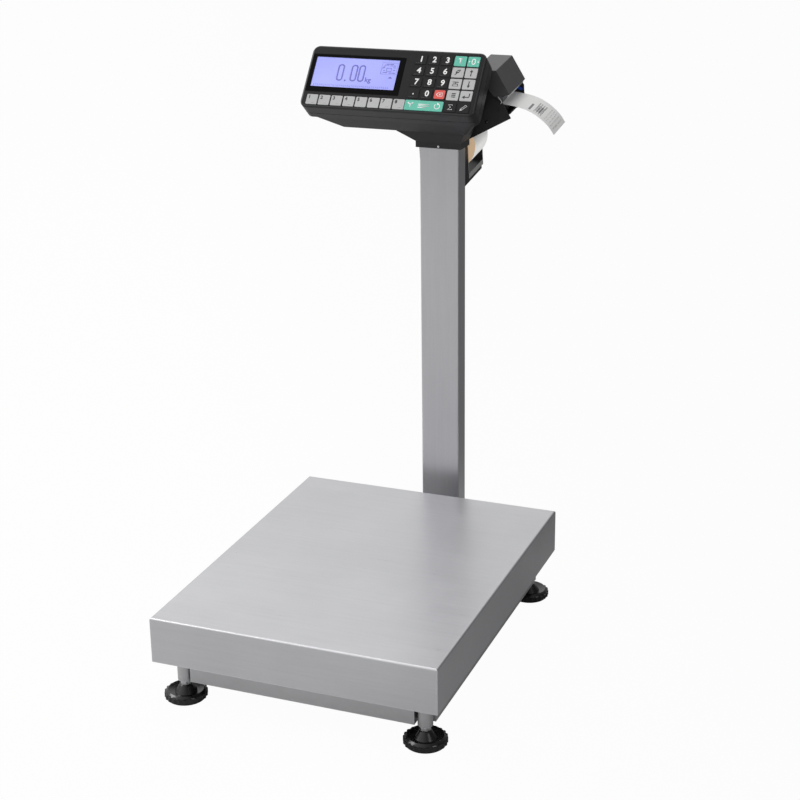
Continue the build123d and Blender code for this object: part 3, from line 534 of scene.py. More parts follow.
holder = Finish("tray_painted_shade")
peel = holder.noise(holder.place(), 0.0012, 2.0)
tray_low, tray_high = (Vector(corner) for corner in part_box("roll_holder"))
holder_x = holder.axes(holder.place())[0]
at_end = (holder_x > tray_high.x - TRAY_WALL) + (holder_x < tray_low.x + TRAY_WALL)
outer_side = (faces_along(holder, (1.0, 0.0, 0.0)) > FACING) * at_end.clamped()
# Painted shade: all of the tray except its end walls' side faces is painted dark for the shade inside it.
painted_shade_inside = holder.mix(peel, shade(16, 16, 17), shade(27, 27, 28))
pale_side = holder.mix(peel, shade(176, 176, 174), shade(198, 198, 196))
holder.set(
    Base_Color=holder.mix(outer_side, painted_shade_inside, pale_side),
    Roughness=holder.varied(0.42, (peel, 0.14)),
)
holder.bump(peel, 0.00002, 0.5)
finishes.update({"label": label, "roll": roll, "holder": holder})
print("the label's printed end is at x =", round(strip_end, 3))

# %% Give each frame node its finish
by_slot = {
    "stainless": "stainless",
    "frame_steel": "frame_steel",
    "zinc_steel": "zinc",
    "cell_aluminium": "cell",
    "black_rubber": "rubber",
    "foot_plastic": "foot",
    "case_plastic": "case",
    "film": "film",
    "screen": "screen",
    "board": "board",
    "key_black": "key_black",
    "key_grey": "key_grey",
    "key_green": "key_green",
    "key_red": "key_red",
    "dark_paint": "paint",
    "cover_paint": "cover",
    "tray_paint": "holder",
    "head_metal": "head",
    "lever_plastic": "lever",
    "paper": "label",
}
own_finish = {"column": "column", "label_roll": "roll", "key_delete": "key_black"}


def wear_finish(piece, finish):
    """Leaves a piece with one material: the finish with that name."""
    piece.data.materials.clear()
    piece.data.materials.append(finishes[finish].material)


for part in frame["record"]["subparts"]:
    wear_finish(nodes[part["node"]], own_finish.get(part["node"], by_slot[part["material_slot"]]))
print("finished", len(nodes), "frame nodes")

# %% [markdown]
# ## Working planes
# The keypad leans back and the printer tips down to the rear, so signs, sockets and screws are
# easier to place on planes that lean with them. A bench is such a plane: X runs along the
# object, Y up the plane and Z out of it. Its direction comes from a joint's axis, and places
# on it are measured from the frame's own nodes.


# %% Benches that lean with the object
class Bench:
    """A tilted working plane: X along the object, Y up the plane, Z out of it."""

    def __init__(self, out):
        self.out = Vector(out).normalized()
        along = Vector((1, 0, 0))
        self.turn = Matrix((along, self.out.cross(along).normalized(), self.out)).transposed()

    def span(self, node):
        """Lowest and highest corner of a frame node, measured on this bench."""
        back = self.turn.transposed()
        spots = [back @ vertex.co for vertex in nodes[node].data.vertices]
        low = Vector([min(spot[axis] for spot in spots) for axis in range(3)])
        high = Vector([max(spot[axis] for spot in spots) for axis in range(3)])
        return low, high


face = Bench(-Vector(joints["press_enter"]["axis"]))
printer = Bench(Vector(joints["cover_open"]["axis"]))
film_low, film_high = face.span("keypad_film")
platen_low, platen_high = printer.span("platen_roller")
platen_middle = (platen_low + platen_high) / 2
PLATEN_STUB = 0.0003
PLATE_FRONT = platen_high.z - PLATEN_STUB
print("keypad film", [round(value * 1000, 1) for value in film_high - film_low], "mm")


def new_piece(name, shape, worn, body, bench):
    """Turns a shape into a piece with its finishes, laid on a bench, that rides on a body."""
    if bench:
        bmesh.ops.transform(shape, matrix=bench.turn.to_4x4(), verts=shape.verts)
    mesh = bpy.data.meshes.new(name)
    shape.to_mesh(mesh)
    shape.free()
    made = bpy.data.objects.new(name, mesh)
    bpy.context.scene.collection.objects.link(made)
    for each in worn:
        made.data.materials.append(finishes[each].material)
    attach(made, body)
    return made


# %% [markdown]
# ## Ink
# The signs on the keys are printed, so each is a film of ink a few hundredths of a millimetre
# thick. Digits come from the built-in font and signs from curves, both turned into closed
# meshes. A tube pressed flat makes a line, and a filled curve makes a plate with holes.

# %% Pens for signs and digits
INK = 0.00006
MM = 0.001
CAP_SHARE = 0.73
MERGE = 0.000002


def as_shape(curve):
    """A curve or text as a closed bmesh that faces outwards, and the curve is gone."""
    holder = bpy.data.objects.new("pen", curve)
    mesh = bpy.data.meshes.new_from_object(holder)
    shape = bmesh.new()
    shape.from_mesh(mesh)
    bpy.data.objects.remove(holder)
    bpy.data.meshes.remove(mesh)
    bmesh.ops.remove_doubles(shape, verts=shape.verts, dist=MERGE)
    bmesh.ops.recalc_face_normals(shape, faces=shape.faces)
    return shape


def lines(runs, width, thick=INK):
    """Runs of points in millimetres as flat lines, each a tube pressed to its thickness."""
    curve = bpy.data.curves.new("lines", "CURVE")
    curve.dimensions = "3D"
    curve.bevel_depth = width * MM / 2
    curve.bevel_resolution = 1
    curve.use_fill_caps = True
    for run in runs:
        spline = curve.splines.new("POLY")
        spline.points.add(len(run) - 1)
        for point, (x, y) in zip(spline.points, run):
            point.co = (x * MM, y * MM, 0.0, 1.0)
    shape = as_shape(curve)
    bmesh.ops.scale(shape, vec=(1.0, 1.0, thick / (width * MM)), verts=shape.verts)
    return shape


def plate(outlines, thick=INK):
    """Closed outlines in millimetres as one flat plate; an outline inside another is a hole."""
    curve = bpy.data.curves.new("plate", "CURVE")
    curve.dimensions = "2D"
    curve.fill_mode = "BOTH"
    curve.extrude = thick / 2
    for outline in outlines:
        spline = curve.splines.new("POLY")
        spline.points.add(len(outline) - 1)
        spline.use_cyclic_u = True
        for point, (x, y) in zip(spline.points, outline):
            point.co = (x * MM, y * MM, 0.0, 1.0)
    return as_shape(curve)


def digits(text, height, bold=0.0, thick=INK):
    """Text of the built-in font, centred, with capitals of a height in millimetres."""
    curve = bpy.data.curves.new("digits", "FONT")
    curve.body = text
    curve.size = height * MM / CAP_SHARE
    curve.align_x = "CENTER"
    curve.offset = bold * MM
    curve.extrude = thick / 2
    curve.resolution_u = 4
    shape = as_shape(curve)
    bmesh.ops.translate(shape, vec=(0.0, -height * MM / 2, 0.0), verts=shape.verts)
    return shape


def arc(x, y, radius, start, end, steps):
    """Points on an arc, angles in degrees."""
    turns = [math.radians(start + (end - start) * step / steps) for step in range(steps + 1)]
    return [(x + radius * math.cos(turn), y + radius * math.sin(turn)) for turn in turns]


def rounded(width, height, corner, x=0.0, y=0.0):
    """Points round a rectangle with rounded corners."""
    points = []
    for index, (side, end) in enumerate(((1, 1), (-1, 1), (-1, -1), (1, -1))):
        centre_x = x + side * (width / 2 - corner)
        centre_y = y + end * (height / 2 - corner)
        points += arc(centre_x, centre_y, corner, 90 * index, 90 * index + 90, 5)
    return points


class Print:
    """Ink shapes in one or more finishes that become one piece on a bench."""

    def __init__(self):
        self.shape = bmesh.new()
        self.inks = []

    def add(self, ink, shape, x, y, z):
        """Puts a shape at a place on the bench, in metres."""
        if ink not in self.inks:
            self.inks.append(ink)
        for flat in shape.faces:
            flat.material_index = self.inks.index(ink)
        bmesh.ops.translate(shape, vec=(x, y, z), verts=shape.verts)
        mesh = bpy.data.meshes.new("ink")
        shape.to_mesh(mesh)
        shape.free()
        self.shape.from_mesh(mesh)
        bpy.data.meshes.remove(mesh)
        return self

    def done(self, name, body, slot, bench):
        return new_piece(name, self.shape, self.inks, body, bench)


def ink(name, colour, roughness=0.5):
    """Printing ink: slightly mottled, so that it never looks like a flat colour."""
    finish = Finish(name)
    mottle = finish.noise(finish.place(), 0.0015, 3.0)
    finish.set(
        Base_Color=finish.mix(mottle, tinted(colour, 0.85), tinted(colour, 1.12)),
        Roughness=finish.varied(roughness, (mottle, 0.1)),
    )
    return finish.bump(mottle, 0.00001, 0.3)


finishes.update(
    {
        "ink_white": ink("ink_white", shade(240, 240, 238)),
        "ink_dark": ink("ink_dark", shade(38, 38, 42)),
        "ink_faint": ink("ink_faint", shade(92, 92, 94)),
        "ink_teal": ink("ink_teal", shade(120, 196, 178)),
        "ink_red": ink("ink_red", shade(222, 84, 76)),
        "window": coated("window_black", shade(5, 5, 6), 0.45, 0.0008, 0.00001, wear_and_highlight=0.0, gloss=0.04),
    }
)
print("inks are", round(INK * 1000, 3), "mm thick")

# %% [markdown]
# ## Signs on the keys
# Every key carries one sign, and it moves with its key. Number keys have a bold white digit
# and a row of tiny grey marks below it. The eight quick keys have a small dark digit in their
# upper left corner. The rest have plain signs: arrows, a list, a leaf, a balance, a sum.

# %% Draw the signs
DELETE_GROUND = rounded(15.6, 13.6, 1.6)
LIST_LINES = (2.6, 0.0, -2.6)

# Ink, runs of points, line width and filled outlines, in millimetres from a key's middle
ARROW_UP = [[(0.0, -5.0), (0.0, 3.0)]]
TIP_UP = [[(0.0, 5.6), (-2.5, 1.5), (2.5, 1.5)]]
signs = {
    "key_up": ("ink_dark", ARROW_UP, 1.5, TIP_UP),
    "key_down": (
        "ink_dark",
        [[(x, -y) for x, y in run] for run in ARROW_UP],
        1.5,
        [[(x, -y) for x, y in outline] for outline in TIP_UP],
    ),
    "key_enter": (
        "ink_dark",
        [[(4.6, 4.2), (4.6, -0.6)] + arc(3.2, -0.6, 1.4, 0, -90, 4) + [(-2.4, -2.0)]],
        1.5,
        [[(-6.0, -2.0), (-1.6, 0.8), (-1.6, -4.8)]],
    ),
    "key_lookup": (
        "ink_dark",
        [[(-2.0, y), (4.0, y)] for y in LIST_LINES] + [[(-4.4, y), (-4.2, y)] for y in LIST_LINES],
        1.6,
        [],
    ),
    "key_net": (
        "ink_dark",
        [
            [(-4.4, 2.8), (4.4, 2.8)],
            [(0.0, 2.8), (0.0, -0.2)],
            [(-3.2, -0.2), (3.2, -0.2), (4.2, -3.4), (-4.2, -3.4), (-3.2, -0.2)],
        ],
        1.3,
        [],
    ),
    "key_percent": (
        "ink_dark",
        [
            arc(-1.2, 3.4, 3.8, -120, 20, 10) + arc(1.8, -0.6, 4.4, 70, 190, 10),
            [(-4.0, -4.2), (0.6, 1.4)],
        ],
        1.2,
        [],
    ),
    "key_sum": (
        "ink_white",
        [[(2.8, 2.6), (2.8, 3.8), (-2.8, 3.8), (0.6, 0.2), (-2.8, -3.6), (3.0, -3.6), (3.0, -2.4)]],
        0.8,
        [],
    ),
    "key_edit": (
        "ink_white",
        [
            [(-4.6, -4.2), (-3.9, -2.0), (2.8, 4.4), (4.6, 2.8), (-2.2, -3.6), (-4.6, -4.2)],
            [(-3.9, -2.0), (-2.2, -3.6)],
        ],
        0.7,
        [],
    ),
    "key_delete": (
        "ink_white",
        [
            [(-4.6, 0.0), (-2.2, 2.6), (4.2, 2.6), (4.2, -2.6), (-2.2, -2.6), (-4.6, 0.0)],
            [(-0.5, 1.1), (1.7, -1.1)],
            [(-0.5, -1.1), (1.7, 1.1)],
        ],
        0.9,
        [],
    ),
    "key_tare": ("ink_white", [[(-3.0, 3.6), (3.0, 3.6)], [(0.0, 3.6), (0.0, -3.6)]], 1.7, []),
    "key_zero": (
        "ink_white",
        [arc(0.0, 1.7, 2.3, 0, 180, 8) + arc(0.0, -1.7, 2.3, 180, 360, 8) + [(2.3, 1.7)]],
        1.5,
        [[(-7.2, 1.5), (-4.9, 0.0), (-7.2, -1.5)], [(7.2, 1.5), (4.9, 0.0), (7.2, -1.5)]],
    ),
    "key_menu": (
        "ink_white",
        [
            [(-20.0, -3.6), (-20.0, 1.6)],
            [(-23.6, 2.4), (-20.0, 1.6), (-16.4, 2.4)],
            [(-24.6, 3.6), (-21.6, 3.4)],
            [(-15.4, 3.6), (-18.4, 3.4)],
            [(-8.4, 1.8), (8.4, 1.8)],
            [(-8.4, -0.6), (8.4, -0.6)],
            [(-8.4, -3.0), (3.6, -3.0)],
            arc(20.0, 0.0, 3.9, 60, -230, 16),
        ],
        1.2,
        [[(19.6, 5.9), (19.6, 1.9), (23.0, 3.6)]],
    ),
}


def key_top(node):
    """Middle of a key's upper face on the keypad's bench."""
    low, high = face.span(node)
    return (low.x + high.x) / 2, (low.y + high.y) / 2, high.z


for node, (colour, runs, width, fills) in signs.items():
    x, y, z = key_top(node)
    sign = Print()
    if node == "key_delete":
        sign.add("ink_red", plate([DELETE_GROUND]), x, y, z)
        z += INK
    sign.add(colour, lines(runs, width), x, y, z)
    if fills:
        sign.add(colour, plate(fills), x, y, z)
    sign.done("sign_" + node[4:], node, "key_grey", face)
print("signs on", len(signs), "keys")

# %% Print the digits
DIGIT_HEIGHT = 9.0
DIGIT_BOLD = 0.32
DIGIT_SHIFT = (0.8, 0.9)
POINT_RADIUS = 1.0
MARK_WIDTH = 0.45
MARK_SHIFT = (-1.5, 2.0)

# The quick keys: digit height, weight, and how far it and the marks sit from the corners
QUICK_HEIGHT = 5.2
QUICK_BOLD = 0.30
QUICK_CORNER = (4.2, -4.0)
QUICK_MARK_WIDTH = 0.35
QUICK_MARK_SHIFT = (4.5, 2.6)
TEAL_KEYS = "56"

MARK_SPANS = ((-4.4, -3.0), (-2.4, -0.2), (0.5, 1.6), (2.3, 4.3))
faint_marks = [[(left, 0.0), (right, 0.0)] for left, right in MARK_SPANS]


def shifted(x, y, shift):
    """A place on the keypad moved by a shift in millimetres."""
    return x + shift[0] * MM, y + shift[1] * MM


for node in nodes:
    if not node.startswith(("key_num_", "key_point", "key_quick_")):
        continue
    low, high = face.span(node)
    x, y, z = key_top(node)
    printed = Print()
    if node.startswith("key_quick_"):
        figure = digits(node[-1], QUICK_HEIGHT, QUICK_BOLD)
        printed.add("ink_dark", figure, *shifted(low.x, high.y, QUICK_CORNER), z)
        faint = "ink_teal" if node[-1] in TEAL_KEYS else "ink_faint"
        marked = lines(faint_marks[:2], QUICK_MARK_WIDTH)
        printed.add(faint, marked, *shifted(x, low.y, QUICK_MARK_SHIFT), z)
    else:
        if node == "key_point":
            dot = plate([arc(0.0, 0.0, POINT_RADIUS, 0, 345, 15)])
            printed.add("ink_white", dot, *shifted(x, y, (0.0, -1.0)), z)
        else:
            figure = digits(node[-1], DIGIT_HEIGHT, DIGIT_BOLD)
            printed.add("ink_white", figure, *shifted(x, y, DIGIT_SHIFT), z)
        marked = lines(faint_marks, MARK_WIDTH)
        printed.add("ink_faint", marked, *shifted(x, low.y, MARK_SHIFT), z)
    printed.done("digit_" + node[4:], node, "key_grey", face)
print("digits are", DIGIT_HEIGHT, "mm tall")

# %% [markdown]
# ## Display
# The display shows through a matt black window in the keypad's film. Behind it a lit panel
# of pale violet carries the reading in tall hollow digits, with a small box of marks at its
# upper right and a faint line of marks along its foot. The window is one plate with a hole,
# and the panel and its reading are three thin layers.

# %% Light the display
BEZEL = 4.0
PANEL_GAP = 0.4
PANEL_THICK = 0.2
READING_LIFT = 0.1
WINDOW_LEFT = 0.6
WINDOW_RIGHT = 9.2
WINDOW_RISE = 8.6
WINDOW_TOP = 4.6
WINDOW_THICK = 0.16

panel = Finish("lit_panel")
glow_clouds = panel.noise(panel.place(), 0.06, 1.0)
glow_grain = panel.noise(panel.place(), 0.0009, 2.0)
glow_mask = glow_clouds * 0.7 + glow_grain * 0.3
panel.set(
    Base_Color=panel.mix(glow_mask, shade(142, 146, 234), shade(186, 192, 252)),
    Roughness=panel.varied(0.26, (glow_grain, 0.1)),
    Emission_Color=shade(150, 152, 250),
    Emission_Strength=0.17,
)
panel.bump(glow_grain, 0.00001, 0.2)
finishes["panel"] = panel
finishes["reading"] = ink("reading_violet", shade(96, 92, 190), 0.4)
finishes["reading_core"] = ink("reading_core", shade(150, 150, 232), 0.4)
finishes["reading_faint"] = ink("reading_faint", shade(134, 132, 214), 0.4)

screen_low, screen_high = face.span("display_module")
border = Vector((BEZEL, BEZEL, 0.0)) * MM
lit_low, lit_high = screen_low + border, screen_high - border
lit_x, lit_y = (lit_low.x + lit_high.x) / 2, (lit_low.y + lit_high.y) / 2
lit_width, lit_height = (lit_high.x - lit_low.x) / MM, (lit_high.y - lit_low.y) / MM
lit_z = screen_high.z + READING_LIFT * MM

lit_outline = rounded(lit_width - PANEL_GAP, lit_height - PANEL_GAP, 0.6)
glass = plate([lit_outline], PANEL_THICK * MM)
screen_glass = Print().add("panel", glass, lit_x, lit_y, screen_high.z)
screen_glass.done("display_panel", "base", "screen", face)

window_left = film_low.x + WINDOW_LEFT * MM
window_right = lit_high.x + WINDOW_RIGHT * MM
window_low = lit_low.y - WINDOW_RISE * MM
window_high = lit_high.y + WINDOW_TOP * MM
window_x, window_y = (window_left + window_right) / 2, (window_low + window_high) / 2
outer = rounded((window_right - window_left) / MM, (window_high - window_low) / MM, 1.2)
hole = rounded(lit_width, lit_height, 0.8, (lit_x - window_x) / MM, (lit_y - window_y) / MM)
frame_plate = plate([outer, hole], WINDOW_THICK * MM)
window = Print().add("window", frame_plate, window_x, window_y, film_high.z)
window.done("display_window", "base", "film", face)
print("lit panel", round(lit_width, 1), "x", round(lit_height, 1), "mm")

# %% Write the reading
NOUGHT = (8.0, 24.6, 3.6)
NOUGHT_LINE, NOUGHT_CORE = 2.1, 0.6
NOUGHT_PLACES = ((41.5, 24.0), (62.4, 24.0), (74.2, 24.0))
POINT, POINT_PLACE = (2.4, 2.4, 0.4), (51.0, 11.6)
UNIT_HEIGHT, UNIT_BOLD, UNIT_PLACE = 7.6, 0.16, (86.0, 14.8)
BOX_LOW, BOX_HIGH = (103.0, 25.0), (126.5, 43.0)
BOX_LINE, NOTE_LINE = 0.7, 0.9
ARROW = [(119.0, 21.0), (115.5, 18.4), (122.5, 18.4)]
reading = Print()


def write(colour, shape, place=(0.0, 0.0), lift=0.0):
    """Adds a shape to the reading at a place in millimetres from the panel's lower left."""
    reading.add(colour, shape, lit_low.x + place[0] * MM, lit_low.y + place[1] * MM, lit_z + lift)


nought = rounded(*NOUGHT)
nought.append(nought[0])
for place in NOUGHT_PLACES:
    write("reading", lines([nought], NOUGHT_LINE), place)
    write("reading_core", lines([nought], NOUGHT_CORE), place, INK)
write("reading", plate([rounded(*POINT)]), POINT_PLACE)
write("reading", digits("kg", UNIT_HEIGHT, UNIT_BOLD), UNIT_PLACE)
box_run = [BOX_LOW, (BOX_HIGH[0], BOX_LOW[1]), BOX_HIGH, (BOX_LOW[0], BOX_HIGH[1]), BOX_LOW]
write("reading_faint", lines([box_run], BOX_LINE))
notes = [
    [(107.0, 39.5), (113.0, 39.5)],
    [(107.0, 39.5), (107.0, 34.5)],
    [(115.0, 38.5), (123.5, 38.5)],
    [(111.0, 34.5), (118.0, 34.5), (118.0, 29.5), (111.0, 29.5), (111.0, 34.5)],
    [(120.5, 35.5), (124.0, 35.5)],
    [(109.5, 41.0), (120.0, 41.0)],
    [(105.5, 27.5), (112.5, 27.5)],
    [(115.0, 27.0), (124.5, 27.0)],
    [(105.0, 36.5), (105.0, 33.0)],
    [(120.5, 31.5), (124.0, 31.5)],
    [(106.0, 30.5), (108.5, 30.5)],
]
write("reading", lines(notes, NOTE_LINE))
write("reading", plate([ARROW]))
print("the reading has", len(NOUGHT_PLACES), "noughts and", len(notes), "strokes of small marks")

# %% Run marks along the panel's foot
FOOT_MARKS = [5.0, 2.6, 4.4, 3.2, 2.8, 5.2, 3.6, 3.4, 4.4, 2.0] * 4
FOOT_START, FOOT_STEP, FOOT_END = 4.0, 3.1, 8.0
FOOT_TOP, FOOT_TAIL = 4.4, 1.2
foot_runs = []
mark_at = FOOT_START
for tall in FOOT_MARKS:
    bottom = FOOT_TOP - tall / 2
    foot_runs.append([(mark_at, FOOT_TOP), (mark_at, bottom), (mark_at + FOOT_TAIL, bottom)])
    mark_at += FOOT_STEP
    if mark_at > lit_width - FOOT_END:
        break
write("reading_faint", lines(foot_runs, NOTE_LINE))
reading.done("display_reading", "base", "screen", face)
print("the reading has", len(foot_runs), "marks along its foot")

# %% [markdown]
# ## Sockets
# The terminal's left side has three sockets in a row: a nine-pin data socket in a steel
# shell, a network socket with its spring contacts, and a round power socket. Their blocks
# belong to the circuit board. What shows outside is a thin front on each block.

# %% Shape and place the socket fronts
case_low, case_high = face.span("front_case")
board_low, board_high = face.span("main_board")
SOCKET_STAND = 0.25
PIN_PITCH, PIN_RADIUS, PIN_ROW = 2.75, 0.55, 1.4
LUG_PLACE, LUG_RADIUS = 12.5, 2.4
SHELL, INSIDE = (17.4, 8.6), (16.2, 7.4)
SHELL_SLANT = 0.17
finishes["socket_steel"] = coated("socket_steel", shade(176, 177, 180), 0.28, 0.001, 0.00001, Metallic=1.0)
finishes["socket_black"] = coated("socket_black", shade(24, 24, 26), 0.45, 0.0006, 0.00001)
finishes["gold"] = coated("contact_gold", shade(214, 176, 92), 0.3, 0.0008, 0.00001, Metallic=1.0)

# A socket's front is drawn flat, then stood up against the case's left side
stand_up = Matrix(((0, 0, -1, 0), (1, 0, 0, 0), (0, 1, 0, 0), (0, 0, 0, 1)))


def socket_front(name, rise, deep, layers):
    """Plates of (finish, outlines, height), at a rise and a depth on the case's left side."""
    front = Print()
    for colour, outlines, height in layers:
        shape = plate(outlines, height * MM)
        bmesh.ops.translate(shape, vec=(0.0, 0.0, height * MM / 2), verts=shape.verts)
        bmesh.ops.transform(shape, matrix=stand_up, verts=shape.verts)
        bmesh.ops.recalc_face_normals(shape, faces=shape.faces)
        y, z = case_low.y + rise * MM, case_high.z - deep * MM
        front.add(colour, shape, case_low.x + SOCKET_STAND * MM, y, z)
    front.done(name, "base", "board", face)


def shell_outline(wide, tall):
    """The slanted outline of a nine-pin socket's shell."""
    x, y = wide / 2, tall / 2
    slant = tall * SHELL_SLANT
    return [(-x, y), (-x + slant, -y), (x - slant, -y), (x, y)]


def pin_row(count, start, y):
    """A row of round pin holes, from the first one's place."""
    return [arc(start + PIN_PITCH * index, y, PIN_RADIUS, 0, 330, 11) for index in range(count)]


pin_holes = pin_row(5, -5.5, PIN_ROW) + pin_row(4, -4.1, -PIN_ROW)
lugs = [arc(side * LUG_PLACE, 0.0, LUG_RADIUS, 0, 300, 5) for side in (-1, 1)]
socket_front(
    "data_socket",
    62.0,
    19.85,
    [
        ("socket_steel", [rounded(30.6, 12.0, 1.2)], 0.5),
        ("socket_steel", [shell_outline(*SHELL), shell_outline(*INSIDE)], 1.9),
        ("socket_black", [shell_outline(*INSIDE)] + pin_holes, 1.5),
        ("socket_steel", lugs, 2.1),
    ],
)
mouth = rounded(12.0, 8.6, 0.3, 0.0, 0.6)
latch = rounded(5.4, 2.0, 0.2, 0.0, -4.9)
contacts = [rounded(0.5, 4.0, 0.1, -3.5 + 1.0 * index, 2.2) for index in range(8)]
socket_front(
    "network_socket",
    32.0,
    20.35,
    [
        ("socket_steel", [rounded(15.6, 13.0, 0.4), mouth, latch], 0.8),
        ("socket_black", [rounded(12.2, 8.8, 0.3, 0.0, 0.6)], 0.3),
        ("gold", contacts, 0.55),
    ],
)
socket_front(
    "power_socket",
    17.0,
    19.1,
    [
        ("socket_black", [arc(0.0, 0.0, 4.3, 0, 350, 35), arc(0.0, 0.0, 2.8, 0, 350, 35)], 1.2),
        ("socket_steel", [arc(0.0, 0.0, 1.0, 0, 345, 23)], 1.0),
    ],
)
print("sockets at the board's left end, board", round((board_high.x - board_low.x) / MM), "mm long")

# %% [markdown]
# ## Printer details
# Under the cover's lip sits a strip that tears the labels off, and the front plate has one
# small screw. Both are placed from the platen, the rubber roller that pulls the labels out.

# %% Fit the tear strip and the plate screw
TEAR_OUTLINE = [(17.0, 24.4), (15.2, 20.0), (14.4, 20.3), (16.1, 24.8)]
SCREW_PLACE = (-17.8, -18.3)
SCREW_RADIUS = 3.1
SCREW_DOME = 1.1
# Painted reflection: the steel strip and guide wire take a near-white plain colour in place of steel's bright
# reflection.
finishes["tear"] = coated("tear_steel_painted_sheen", shade(232, 232, 232), 0.30, 0.001, 0.00001)
finishes["black_zinc"] = coated("black_zinc", shade(30, 30, 32), 0.30, 0.0008, 0.00001, Metallic=0.6)


def from_platen(x, y):
    """A place in millimetres from the platen's axis, on the printer's bench."""
    return platen_middle.x + x * MM, platen_middle.y + y * MM


module_deep = (platen_high.z - platen_low.z) - 2 * PLATEN_STUB
strip = plate([TEAR_OUTLINE], module_deep)
tear_strip = Print().add("tear", strip, *from_platen(0.0, 0.0), platen_middle.z)
tear_strip.done("tear_strip", "cover", "tray_paint", printer)

screw = bmesh.new()
bmesh.ops.create_uvsphere(screw, u_segments=24, v_segments=12, radius=SCREW_RADIUS * MM)
everything = screw.verts[:] + screw.edges[:] + screw.faces[:]
bmesh.ops.bisect_plane(
    screw, geom=everything, plane_co=(0, 0, 0), plane_no=(0, 0, -1), clear_outer=True
)
bmesh.ops.holes_fill(screw, edges=[edge for edge in screw.edges if edge.is_boundary], sides=0)
bmesh.ops.scale(screw, vec=(1.0, 1.0, SCREW_DOME / SCREW_RADIUS), verts=screw.verts)
x, y = from_platen(*SCREW_PLACE)
plate_screw = Print().add("black_zinc", screw, x, y, PLATE_FRONT)
slots = lines([[(-1.5, 0.0), (1.5, 0.0)], [(0.0, -1.5), (0.0, 1.5)]], 0.7, 0.3 * MM)
plate_screw.add("ink_faint", slots, x, y, PLATE_FRONT + SCREW_DOME * MM)
plate_screw.done("plate_screw", "base", "dark_paint", printer)
print("the printer is", round(module_deep / MM, 1), "mm deep between its plates' faces")

# %% [markdown]
# ## Lever finger and guide wire
# The release lever turns on a pin through the rear plate. Its blue finger sits on the inner
# side of that plate, above the label's far edge, where an operator reaches it. At the front
# plate a bent steel wire keeps the label from catching on the plate's edge.

# %% Make the finger and the wire
LEVER_PIN = (-2.0, 15.3)
FINGER_LEAN = 23.0
FINGER_THICK = 2.3
FINGER_BACK = 2.0
FINGER_LIFT = 1.45
WIRE = 1.2
WIRE_LIFT = 0.5
WIRE_RUN = [(-4.0, 21.0), (-0.4, 21.8), (0.6, 21.2), (5.8, 13.6), (5.6, 12.6), (4.0, 10.2)]

finger_hub = arc(0.0, 0.0, 4.0, 100, 330, 14)
finger_tip = arc(16.0, 2.6, 1.7, -80, 80, 8)
finger_outline = finger_hub + [(4.6, 0.9), (15.6, 0.9)] + finger_tip + [(4.0, 4.3)]
finger = plate([finger_outline], FINGER_THICK * MM)
lean = Matrix.Rotation(-math.radians(FINGER_LEAN), 3, "Z")
bmesh.ops.rotate(finger, cent=(0, 0, 0), matrix=lean, verts=finger.verts)
rear_inner = platen_low.z + PLATEN_STUB + FINGER_BACK * MM
lever_finger = Print().add("lever", finger, *from_platen(*LEVER_PIN), rear_inner + FINGER_LIFT * MM)
lever_finger.done("lever_finger", "lever", "lever_plastic", printer)

wire = lines([WIRE_RUN], WIRE, WIRE * MM)
# The wire wears the strip's near-white finish: a painted reflection.
guide_wire = Print().add("tear", wire, *from_platen(0.0, 0.0), PLATE_FRONT + WIRE_LIFT * MM)
guide_wire.done("guide_wire", "base", "zinc_steel", printer)
print("finger and wire placed from the platen")

# %% [markdown]
# ## Foot rims
# Each foot is a plastic disc on a steel stud, turned by hand to level the scale, so its rim
# has ribs for the fingers. A copy of the frame's foot is drawn in a little at the rim, a
# toothed ring brings it back to its full width, and the copy stands for the frame's node.

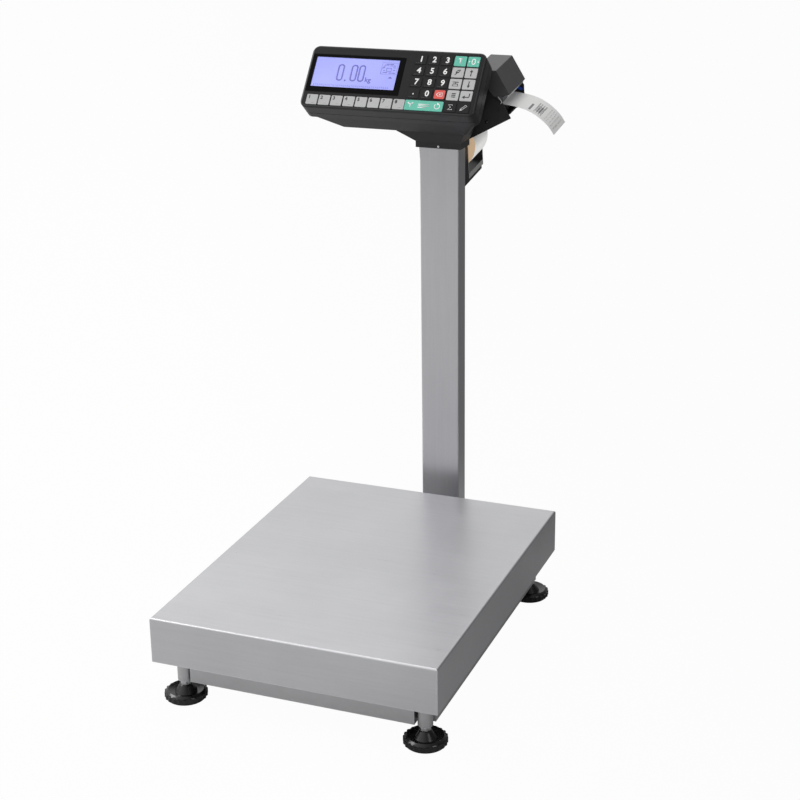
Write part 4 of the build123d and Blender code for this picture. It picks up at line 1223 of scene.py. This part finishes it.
# %% Rib the rims of the feet
RIBS = 22
RIM_INSIDE = 26.4
RIM_LOW, RIM_HIGH = 2.6, 9.2
RIB_DEPTH = 1.5
RING_OVERLAP = 0.2
STUD_REACH = 0.0046
HUB_TOP = 0.0125
SHARP = 0.5
SAME_SPOT = 0.00001

# A rib's root, its flat tip and its root again, in shares of the pitch from its middle
FOOT_SHARE, TIP_SHARE = 0.36, 0.16


def rib_outline(root, tip):
    """A toothed circle: every rib has a narrow top and two sloping sides."""
    rib = ((-FOOT_SHARE, root), (-TIP_SHARE, tip), (TIP_SHARE, tip), (FOOT_SHARE, root))
    points = []
    for index in range(RIBS):
        for share, radius in rib:
            turn = 2 * math.pi * (index + share) / RIBS
            points.append((radius * math.cos(turn), radius * math.sin(turn)))
    return points


def drawn_in(node, middle, reach):
    """A copy of a frame node whose points lie no further than reach from its upright axis."""
    shape = bmesh.new()
    shape.from_mesh(nodes[node].data)
    bmesh.ops.remove_doubles(shape, verts=shape.verts, dist=SAME_SPOT)
    for vertex in shape.verts:
        out = Vector((vertex.co.x - middle.x, vertex.co.y - middle.y, 0.0))
        if out.length > reach:
            vertex.co -= out * (1 - reach / out.length)
    for flat in shape.faces:
        flat.smooth = True
    for edge in shape.edges:
        edge.smooth = len(edge.link_faces) == 2 and edge.calc_face_angle(0.0) < SHARP
    return shape


for corner in ("front_left", "front_right", "rear_left", "rear_right"):
    node = "foot_" + corner
    low, high = (Vector(each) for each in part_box(node))
    middle = (low + high) / 2
    tip = (high.x - low.x) / 2 / MM
    root = tip - RIB_DEPTH
    outlines = [rib_outline(root - RING_OVERLAP, tip), arc(0.0, 0.0, RIM_INSIDE, 0, 354, 59)]
    ring = plate(outlines, (RIM_HIGH - RIM_LOW) * MM)
    disc = Print().add("foot", drawn_in(node, middle, root * MM), 0.0, 0.0, 0.0)
    disc.add("foot", ring, middle.x, middle.y, (RIM_LOW + RIM_HIGH) / 2 * MM)
    disc.inks.append("zinc")
    for flat in disc.shape.faces:
        centre = flat.calc_center_median()
        if centre.z > HUB_TOP and (centre - middle).xy.length < STUD_REACH:
            flat.material_index = 1
    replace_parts(disc.done("ribbed_" + node, node, "foot_plastic", None), node)
print("ribs on each foot:", RIBS)
